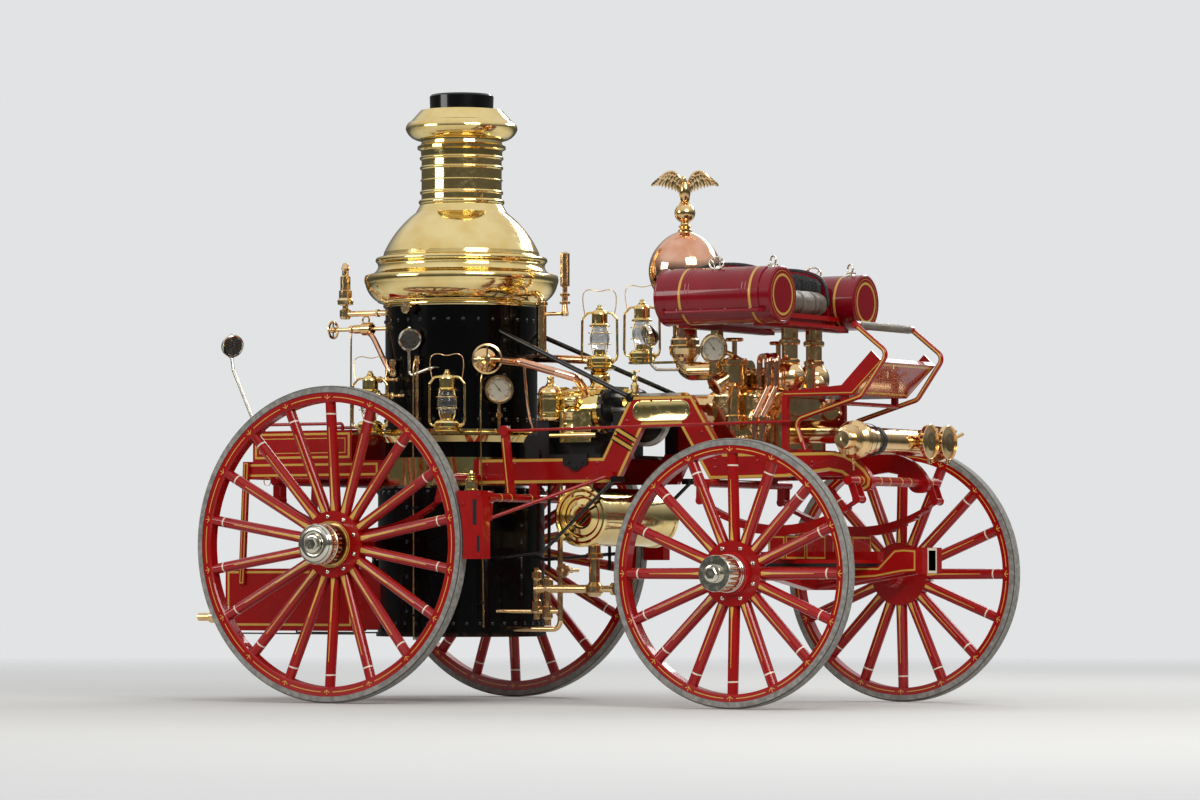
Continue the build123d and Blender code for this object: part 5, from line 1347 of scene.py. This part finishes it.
mesh_piece("bowl_rings", bowl_rings, brass)
mesh_piece("riser_sleeve", riser_sleeve, bronze)
drains = (
    ((519, -262, 1604), (519, -300, 1596), (519, -319, 1570), (520, -320, 1300), (534, -326, 900), (545, -332, 362)),
    ((205, -412, 1660), (214, -440, 1655), (214, -447, 1600), (214, -447, 1200), (216, -447, 700), (218, -447, 300)),
    ((-300, -213, 1829), (-300, -219, 1800), (-300, -220, 1500), (-300, -220, 1200)),
)
drip = ((775, -335, 1632), (780, -332, 1560), (786, -322, 1440), (792, -300, 1340), (797, -262, 1300))
rear_pipe = ((-205, -213, 1812), (-150, -262, 1800), (-88, -304, 1738), (3, -350, 1622), (39, -352, 1596))
wire("drain_pipes", [[at(*point) for point in path] for path in drains], 0.0042, brass)
wire("copper_drip_pipe", [[at(*point) for point in drip]], 0.007, copper)
wire("rear_copper_pipe", [[at(*point) for point in rear_pipe]], 0.013, copper)

# %% [markdown]
# Behind the boiler are the collars of the safety valve's arm, an oil cup, and two try cocks, which
# are opened to see how high the water stands. Each cock is a body that points at the boiler's
# axis and a handle that points forward.

# %% Fittings behind the boiler
def towards_boiler(point):
    """The level direction from a point to the boiler's axis, and how far away it is."""
    away = at(boiler_forward, 0, 0) - point
    away.z = 0
    return away.normalized(), away.length


def rear_fittings(bm):
    for forward in (-146, -84):  # collars on the safety valve's arm
        lathe(bm, at(forward, -225, 1905), X, ((0.0135, 0), (0.021, 0.002), (0.021, 0.014), (0.0135, 0.016)), 6)
    lathe(bm, at(-312, -213, 1829), X, ((0.0098, 0), (0.018, 0.003), (0.020, 0.012), (0.018, 0.021),
                                        (0.0098, 0.024)), 24)
    lathe(bm, at(39, -352, 1585), Z, ((0, 0), (0.015, 0.001), (0.020, 0.012), (0.020, 0.030), (0.013, 0.036),
                                      (0.013, 0.050), (0.022, 0.055), (0.022, 0.078), (0.012, 0.084), (0, 0.086)), 28)
    for foot in (at(10, -374, 1568), at(56, -386, 1489)):  # try cocks
        inward, distance = towards_boiler(foot)
        lathe(bm, foot - inward * 0.012, inward, ((0, 0), (0.010, 0.001), (0.016, 0.006), (0.016, 0.018),
                                                  (0.008, 0.024), (0.008, distance - 0.350)), 20)
        lathe(bm, foot, Vector((1, inward.x * -0.1, 0)), (
            (0, 0), (0.006, 0.001), (0.005, 0.030), (0.008, 0.036), (0.008, 0.044), (0.004, 0.050), (0.009, 0.062),
            (0.006, 0.070), (0, 0.072)), 16)


def drain_clips(bm):
    for spot in (at(532, -325, 940), at(542, -330, 480), at(216, -447, 940), at(217, -447, 420)):
        way, distance = towards_boiler(spot)
        lathe(bm, spot - way * 0.008, way, ((0, 0), (0.007, 0), (0.007, distance - 0.398)), 12)


mesh_piece("rear_fittings", rear_fittings, bronze)
wire("valve_ring", [ring_points(at(-216, -213, 1873), Y, 0.019)], 0.0045, bronze, cyclic=True)
mesh_piece("drain_clips", drain_clips, iron)

# %% [markdown]
# ## Gooseneck lamps
#
# The three lamps have bright bent necks, a nickel rim, and a lens over a reflector painted black: a painted dark
# reflection. The neck's corners are rounded as a bent pipe's are, by one function that the irons' lines use too.

# %% Gooseneck lamps
lamp_necks = (  # points up the neck, and the way the lamp looks
    (((-820, -290, 1330), (-835, -290, 1380), (-960, -288, 1640), (-972, -286, 1712)), (0.8, -0.5, -0.3)),
    (((300, -352, 1620), (300, -420, 1620), (176, -424, 1580), (174, -424, 1712)), (0.7, -0.6, -0.4)),
    (((1462, -30, 1600), (1360, -70, 1600), (1330, -70, 1626), (1326, -70, 1712)), (-0.6, -0.7, -0.3)),
)
lamps = []  # for each lamp, the neck's top, the lamp's middle and the way it looks
for points, facing in lamp_necks:
    top = at(*points[-1])
    lamps.append((top, top + Z * 0.052, Vector(facing).normalized()))
necks = [rounded([at(*point) for point in points], 0.020) for points, _ in lamp_necks]
wire("lamp_necks", necks, 0.0079, nickel, smooth=False)


def lamp_rims(bm):
    for top, head, facing in lamps:
        lathe(bm, head, facing, ((0.0545, 0.002), (0.0575, 0.006), (0.0575, 0.0215), (0.0535, 0.0235),
                                 (0.0475, 0.0215), (0.0475, 0.0175)), 48)
        domes(bm, [(head + Z * 0.054 + facing * 0.008, Z)], 0.010, 0.009, 14)
        lathe(bm, top - Z * 0.014, Z, ((0.008, 0), (0.0125, 0.003), (0.0125, 0.018), (0.008, 0.021)), 16)


# the reflector inside each lamp is painted black: a painted dark reflection
def lamp_reflectors_painted_dark(bm):
    for _, head, facing in lamps:
        lathe(bm, head, facing, (
            (0.0478, 0.0135), (0.036, 0.0120), (0.014, 0.0095), (0.013, 0.0125), (0, 0.0128)), 40)


def lamp_lenses(bm):
    for _, head, facing in lamps:
        lathe(bm, head, facing, ((0.0478, 0.0185), (0.030, 0.0215), (0, 0.0225)), 40)


mesh_piece("lamp_rims", lamp_rims, nickel)
mesh_piece("lamp_reflectors_painted_dark", lamp_reflectors_painted_dark, black_paint)
mesh_piece("lamp_lenses", lamp_lenses, glass)

# %% [markdown]
# ## Small fittings on the frame
#
# Oil pots over the brake shoes, a turned valve on the arch, bolts along the frame, and a leather
# grip on the rail before the driver. All of them are turned forms, or heads set by a list of places.

# %% Frame fittings
shoe_face = 880  # how far out the brake shoes' outer faces are


def oil_pots(bm):
    for _, sign in sides:
        lathe(bm, at(800, sign * 847, 1012), Z, (
            (0.034, 0), (0.034, 0.006), (0.029, 0.008), (0.029, 0.044), (0.033, 0.047), (0.033, 0.053),
            (0.020, 0.058), (0.020, 0.066), (0.024, 0.069), (0.024, 0.078), (0.010, 0.084), (0.008, 0.094),
            (0, 0.096)))
    lathe(bm, at(1364, -285, 1464), Z, (
        (0.022, 0), (0.022, 0.008), (0.012, 0.014), (0.012, 0.026), (0.018, 0.040), (0.020, 0.054), (0.010, 0.068),
        (0.010, 0.076), (0.016, 0.082), (0.014, 0.096), (0.007, 0.102), (0.007, 0.124), (0, 0.125)), 24)
    lathe(bm, at(1338, -285, 1584), X, ((0, 0), (0.0045, 0.001), (0.0045, 0.051), (0, 0.052)), 12)


mesh_piece("oil_pots_and_valve", oil_pots, brass)

# %% [markdown]
# The brake shoes' slots are flat dark strips of painted shade. Bolt heads are set from lists of places, once for both
# sides.

# %% Slots and bolts
# each slot is a flat dark strip on the shoe's face: painted shade where the opening would be
def shoe_slot_shade(bm):
    for _, sign in sides:
        for forward, high, low, width in ((838, 972, 850, 0.022), (858, 800, 724, 0.016)):
            ribbon(bm, side_points(((forward, high), (forward, low)), sign * (shoe_face + proud)), width,
                   Vector((0, sign, 0)))


mesh_piece("shoe_slot_shade", shoe_slot_shade, iron, smooth=False)
frame_bolt_places = (
    (540, 1148), (540, 1084), (700, 1150), (1166, 1150), (1236, 1098), (1402, 1444), (1466, 1444), (1574, 1444),
    (1650, 1444), (1330, 1350), (1742, 1290), (1812, 1120), (1812, 1160), (1900, 1150), (2040, 1150), (2180, 1150),
    (2330, 1140), (2330, 1120))


def both_sides(places, sideways):
    """Each (forward, height) on both sides, with the direction outwards."""
    return [(at(forward, sign * sideways, height), Vector((0, sign, 0))) for _, sign in sides
            for forward, height in places]


def frame_bolts(bm):
    domes(bm, both_sides(frame_bolt_places, frame_half), 0.0085, 0.0065, 12)
    hexes(bm, both_sides(((858, 992), (864, 706), (772, 950)), shoe_face), 0.0095, 0.007)


mesh_piece("frame_bolts", frame_bolts, red_paint)
mesh_piece("apron_bolts", lambda bm: hexes(bm, both_sides(
    ((1010, 1158), (1085, 1158), (1048, 1132)), 311), 0.0095, 0.007), iron)

# %% [markdown]
# The rail before the driver is wound with leather cord where hands hold it: sixty fine ridges.

# %% Hand grip
def hand_grip(bm):
    lathe(bm, at(2553, -255, 1776), Y, [(0.0182, 0), (0.0196, 0.002)] + [
        (0.0196 + 0.0005 * (k % 2), 0.004 + k * 0.0085) for k in range(60)] + [(0.0196, 0.508), (0.0182, 0.510)], 28)


mesh_piece("hand_grip", hand_grip, worn_leather)

# %% [markdown]
# ## Gold on the running gear
#
# The bars have narrow bands. The bolster, the axle and the futchells have outlines, and the
# pole's socket has a cream rim. What is on the axle turns with the fore-carriage.

# %% Lines on the running gear
def round_band(bm, centre, along, radius, width):
    lathe(bm, centre - along * width / 2, along, (
        (radius - 0.0008, 0), (radius, 0.0006), (radius, width - 0.0006), (radius - 0.0008, width)))


def bar_bands(bm):
    for _, sign in sides:
        for sideways in (60, 150, 330, 372):
            round_band(bm, at(2600, sign * sideways, 1050), Y, 0.0226, 0.009)
        for sideways in (336, 520, 610):
            round_band(bm, at(-530, sign * sideways, 1072), Y, 0.0206, 0.008)
            round_band(bm, at(805, sign * sideways, 982), Y, 0.0206, 0.008)


mesh_piece("bar_bands", bar_bands, gold)
wire("lever_line", [[at(794, -509.2, 1006), at(778, -509.2, 1140), at(763, -509.2, 1268)]], 0.0038, gold)
bolster_low, bolster_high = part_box("bolster")
print("bolster from", tuple(round(c, 3) for c in bolster_low), "to", tuple(round(c, 3) for c in bolster_high))


fore_axle_forward = 2214
axle_x = at(fore_axle_forward, 0, 0).x


def across_face(bm, x, low, high, width):
    """A gold rectangle on a face that looks along X: low and high are its (y, z) corners."""
    (y0, z0), (y1, z1) = low, high
    ribbon(bm, [Vector((x, y0, z0)), Vector((x, y1, z0)), Vector((x, y1, z1)), Vector((x, y0, z1))], width, X, True)


def bolster_lines(bm):
    top = bolster_high.z
    for way in (-1, 1):
        for low, high in ((-0.425, -0.235), (-0.225, -0.035), (0.035, 0.225), (0.235, 0.425)):
            across_face(bm, axle_x + way * (0.045 + proud / 1000), (low + 0.006, 0.694), (high - 0.006, top - 0.008),
                        0.008)
        y, near, far = way * (0.430 + proud / 1000), axle_x - 0.038, axle_x + 0.038
        ribbon(bm, [Vector((near, y, 0.694)), Vector((far, y, 0.694)), Vector((far, y, top - 0.010)),
                    Vector((near, y, top - 0.010))], 0.007, Y, True)


def axle_lines(bm):
    for way in (-1, 1):
        x = at(fore_axle_forward + way * (32 + proud), 0, 0).x
        for low, high in ((-0.64, -0.125), (0.125, 0.64)):
            across_face(bm, x, (low, 0.60), (high, 0.641), 0.006)
    for _, sign in sides:
        for run, width in ((((50, 596), (340, 610), (480, 634), (550, 638), (550, 724), (492, 728), (446, 724),
                             (360, 642), (50, 642)), 0.008),
                           (((-46, 600), (-46, 641), (-366, 641), (-366, 632)), 0.007)):
            points = side_points([(fore_axle_forward + x, z) for x, z in run], sign * (100 + proud))
            ribbon(bm, points, width, Vector((0, sign, 0)), True)


def socket_rim(bm):
    x, middle = at(2804 + proud, 0, 0).x, 0.681
    across_face(bm, x, (-0.0415, middle - 0.053), (0.0415, middle + 0.053), 0.012)


mesh_piece("bolster_lines", bolster_lines, gold, smooth=False)
mesh_piece("axle_lines", axle_lines, gold, "fore_axle", smooth=False)
mesh_piece("socket_rim", socket_rim, cream_paint, "fore_axle", smooth=False)


def slab(bm, low, high):
    """A rectangular plate between two corners."""
    for vertex in bmesh.ops.create_cube(bm, size=1.0)["verts"]:
        vertex.co = Vector(low[k] + (high[k] - low[k]) * (vertex.co[k] + 0.5) for k in range(3))


mesh_piece("socket_end_plate", lambda bm: slab(bm, at(2700, -48, 626), at(2703.6, 48, 736)), iron, "fore_axle",
           smooth=False)

# %% [markdown]
# ## Small parts of the engine and the pump
#
# What makes a steam pump look like one is its fastenings: rings of nuts on every flange, a round
# cover on each side of the pump, a turned oil cup, cocks with cross handles. A ring of nuts is a
# ring of points, each with the direction that it faces.

# %% Rings and cocks
def ring_of(centre, along, radius, count, start=0.0):
    """Places round a circle, each facing along."""
    return [(point, along) for point in ring_points(centre, along, radius, count, start)]


def cock(bm, foot, outward, handle):
    """A drain cock: a turned body on a face, and a cross handle."""
    lathe(bm, foot, outward, ((0.013, 0), (0.013, 0.005), (0.008, 0.008), (0.008, 0.020), (0.012, 0.024),
                              (0.012, 0.038), (0.006, 0.042), (0.005, 0.056), (0, 0.057)), 20)
    lathe(bm, foot + outward * 0.050 - handle * 0.024, handle, (
        (0, 0), (0.0045, 0.002), (0.0036, 0.012), (0.0036, 0.036), (0.0045, 0.046), (0, 0.048)), 12)


pump_face = 189.5  # how far out the pump's sides are
print("a ring of nuts:", len(ring_of(Vector(), Z, 0.1, 8)))

# %% [markdown]
# The pump's covers, cocks and nuts are the same on both sides.

# %% Pump trim
def pump_covers(bm):
    for _, sign in sides:
        outward = Vector((0, sign, 0))
        for forward, height, radius in ((1988, 1336, 0.064), (1988, 1452, 0.038)):
            lathe(bm, at(forward, sign * pump_face, height), outward, (
                (radius, 0), (radius, 0.007), (radius * 0.93, 0.010), (radius * 0.66, 0.010), (radius * 0.60, 0.016),
                (radius * 0.36, 0.020), (radius * 0.30, 0.032), (0, 0.035)), 48)
            hexes(bm, ring_of(at(forward, sign * 199, height), outward, radius * 0.8, 8, 0.3), 0.0062, 0.006)
        cock(bm, at(1916, sign * pump_face, 1262), outward, X)
        cock(bm, at(2044, sign * pump_face, 1404), outward, Z)
        hexes(bm, ring_of(at(1870, sign * 215, 1631), Z, 0.0545, 8), 0.0065, 0.007)
        hexes(bm, ring_of(at(1870, sign * 215, 1364), -Z, 0.036, 6), 0.0052, 0.006)
        hexes(bm, [(at(1816 + 38 * k, sign * 119, 1560), Z) for k in range(7)], 0.0066, 0.008)
        hexes(bm, ring_of(at(2115, sign * 120, 1706), -Z, 0.0442, 8), 0.005, 0.006)


mesh_piece("pump_covers", pump_covers, bronze)

# %% [markdown]
# The steam cylinders' covers are ringed with nuts. The oil cup and the lubricator are turned.

# %% Steam cylinder trim
def cylinder_trim(bm):
    for _, sign in sides:
        for forward, along in ((1132, X), (870, -X)):
            hexes(bm, ring_of(at(forward, sign * 140, rod_height), along, 0.104, 12, 0.13), 0.0075, 0.009)
    hexes(bm, both_sides([(forward, height) for forward in (958, 1110) for height in (1264, 1325, 1387)], 284.6),
          0.0066, 0.007)
    lathe(bm, at(989, -252, 1286), Z, (
        (0.030, 0), (0.044, 0.006), (0.047, 0.016), (0.047, 0.030), (0.0445, 0.034), (0.0445, 0.098), (0.048, 0.103),
        (0.050, 0.112), (0.048, 0.121), (0.036, 0.128)), 48)
    hexes(bm, [(at(989, -294, 1330), Vector((0, -1, 0)))], 0.011, 0.012)


mesh_piece("cylinder_trim", cylinder_trim, brass)


def lubricator_skin(bm):
    skin = ((60.7, 9), (64.7, 8.5), (60.7, 14), (60.7, 20), (62.6, 22), (62.6, 27), (60.7, 29), (60.7, 33),
            (62.2, 35), (62.2, 38), (60.7, 40), (60.7, 100), (62.2, 102), (62.2, 105), (60.7, 107), (60.7, 121),
            (65.8, 127.5), (65.8, 130), (60.8, 136.4), (52.8, 156.6), (40, 163.4), (26.8, 168.6), (18.8, 180.4),
            (14.8, 198), (18.8, 210), (6, 214.5), (0, 217))
    lathe(bm, at(874, -250, 1358), Z, [(radius / 1000, height / 1000) for radius, height in skin], 56)


mesh_piece("lubricator_skin", lubricator_skin, brass)

# %% [markdown]
# ## Floor and light
#
# A pale floor that fades out, a broad soft key from ahead on the right-hand side, a weaker fill
# from behind on the same side, and a strip from the far side. The world is bright above and dark
# at the horizon, so that polished metal has something to show.

# %% Studio
floor_paint = Paint("studio_floor", Roughness=0.85)
floor_paint.set("Base Color", floor_paint.mix(floor_paint.noise(0.6), colour(206, 206, 204), colour(200, 200, 198)))
floor_x, floor_y, _ = floor_paint.axes()
floor_paint.set("Alpha", floor_paint.ramp((floor_x * floor_x + floor_y * floor_y) ** 0.5, 4.0, 15.0, 1.0, 0.0))
floor_data = bpy.data.meshes.new("studio_floor")
floor_data.from_pydata([(x, y, -0.0005) for x, y in ((-40, -40), (40, -40), (40, 40), (-40, 40))], [], [(0, 1, 2, 3)])
floor = bpy.data.objects.new("studio_floor", floor_data)
floor_data.materials.append(floor_paint.material)
bpy.context.collection.objects.link(floor)
print("floor fades out from 4 to 15 m")

# %% [markdown]
# Broad lamps give metal long soft highlights. Their strength is low, so that a colour renders
# about as it is written.

# %% Lamps
def soft_light(name, place, aim, size, watts, tint=(1, 1, 1)):
    data = bpy.data.lights.new(name, "AREA")
    data.shape, data.size, data.size_y, data.energy, data.color = "RECTANGLE", size[0], size[1], watts, tint
    light = bpy.data.objects.new(name, data)
    light.location = place
    light.rotation_euler = (Vector(aim) - Vector(place)).to_track_quat("-Z", "Y").to_euler()
    bpy.context.collection.objects.link(light)


soft_light("key", (8.0, -6.0, 7.0), (0, 0, 1.3), (6, 4), 620, (1, 0.98, 0.94))
soft_light("fill", (-6.5, -8.5, 4.5), (0, 0, 1.2), (5, 3), 260, (1, 0.98, 0.95))
soft_light("back", (1.0, 7.5, 6.0), (0, 0, 1.5), (7, 2), 300)
print("lamps:", len(bpy.data.lights))

# %% [markdown]
# The world is a ramp from dark at the horizon to bright above. Camera rays get a plain pale
# colour instead, by the Light Path node.

# %% World
world = bpy.data.worlds.new("studio")
bpy.context.scene.world = world
world.use_nodes = True
world_nodes, world_links = world.node_tree.nodes, world.node_tree.links
background = world_nodes["Background"]
direction = world_nodes.new("ShaderNodeTexCoord")
height_of = world_nodes.new("ShaderNodeSeparateXYZ")
shades = world_nodes.new("ShaderNodeValToRGB")
world_links.new(direction.outputs["Generated"], height_of.inputs[0])
world_links.new(height_of.outputs["Z"], shades.inputs["Fac"])
world_links.new(shades.outputs["Color"], background.inputs["Color"])
stops = shades.color_ramp.elements
stops[0].position, stops[0].color = 0.0, (0.10, 0.11, 0.10, 1)
stops[1].position, stops[1].color = 1.0, (1.15, 1.16, 1.18, 1)
for position, grey in ((0.10, 0.15), (0.28, 0.42), (0.50, 1.0)):
    stop = stops.new(position)
    stop.color = (grey, grey, grey, 1)
background.inputs["Strength"].default_value = 0.72
plain = world_nodes.new("ShaderNodeBackground")
plain.inputs["Color"].default_value = colour(226, 227, 228)
mixed = world_nodes.new("ShaderNodeMixShader")
rays = world_nodes.new("ShaderNodeLightPath")
world_links.new(rays.outputs["Is Camera Ray"], mixed.inputs["Fac"])
world_links.new(background.outputs[0], mixed.inputs[1])
world_links.new(plain.outputs[0], mixed.inputs[2])
world_links.new(mixed.outputs[0], world_nodes["World Output"].inputs["Surface"])
bpy.context.scene.view_settings.view_transform = "Standard"
print("shades in the sky:", len(stops))

# %% [markdown]
# ## Finish
#
# The visual model should be as large as the solids. It passes their box by a centimetre at the
# hub nuts alone.

# %% Finish
print("finished")
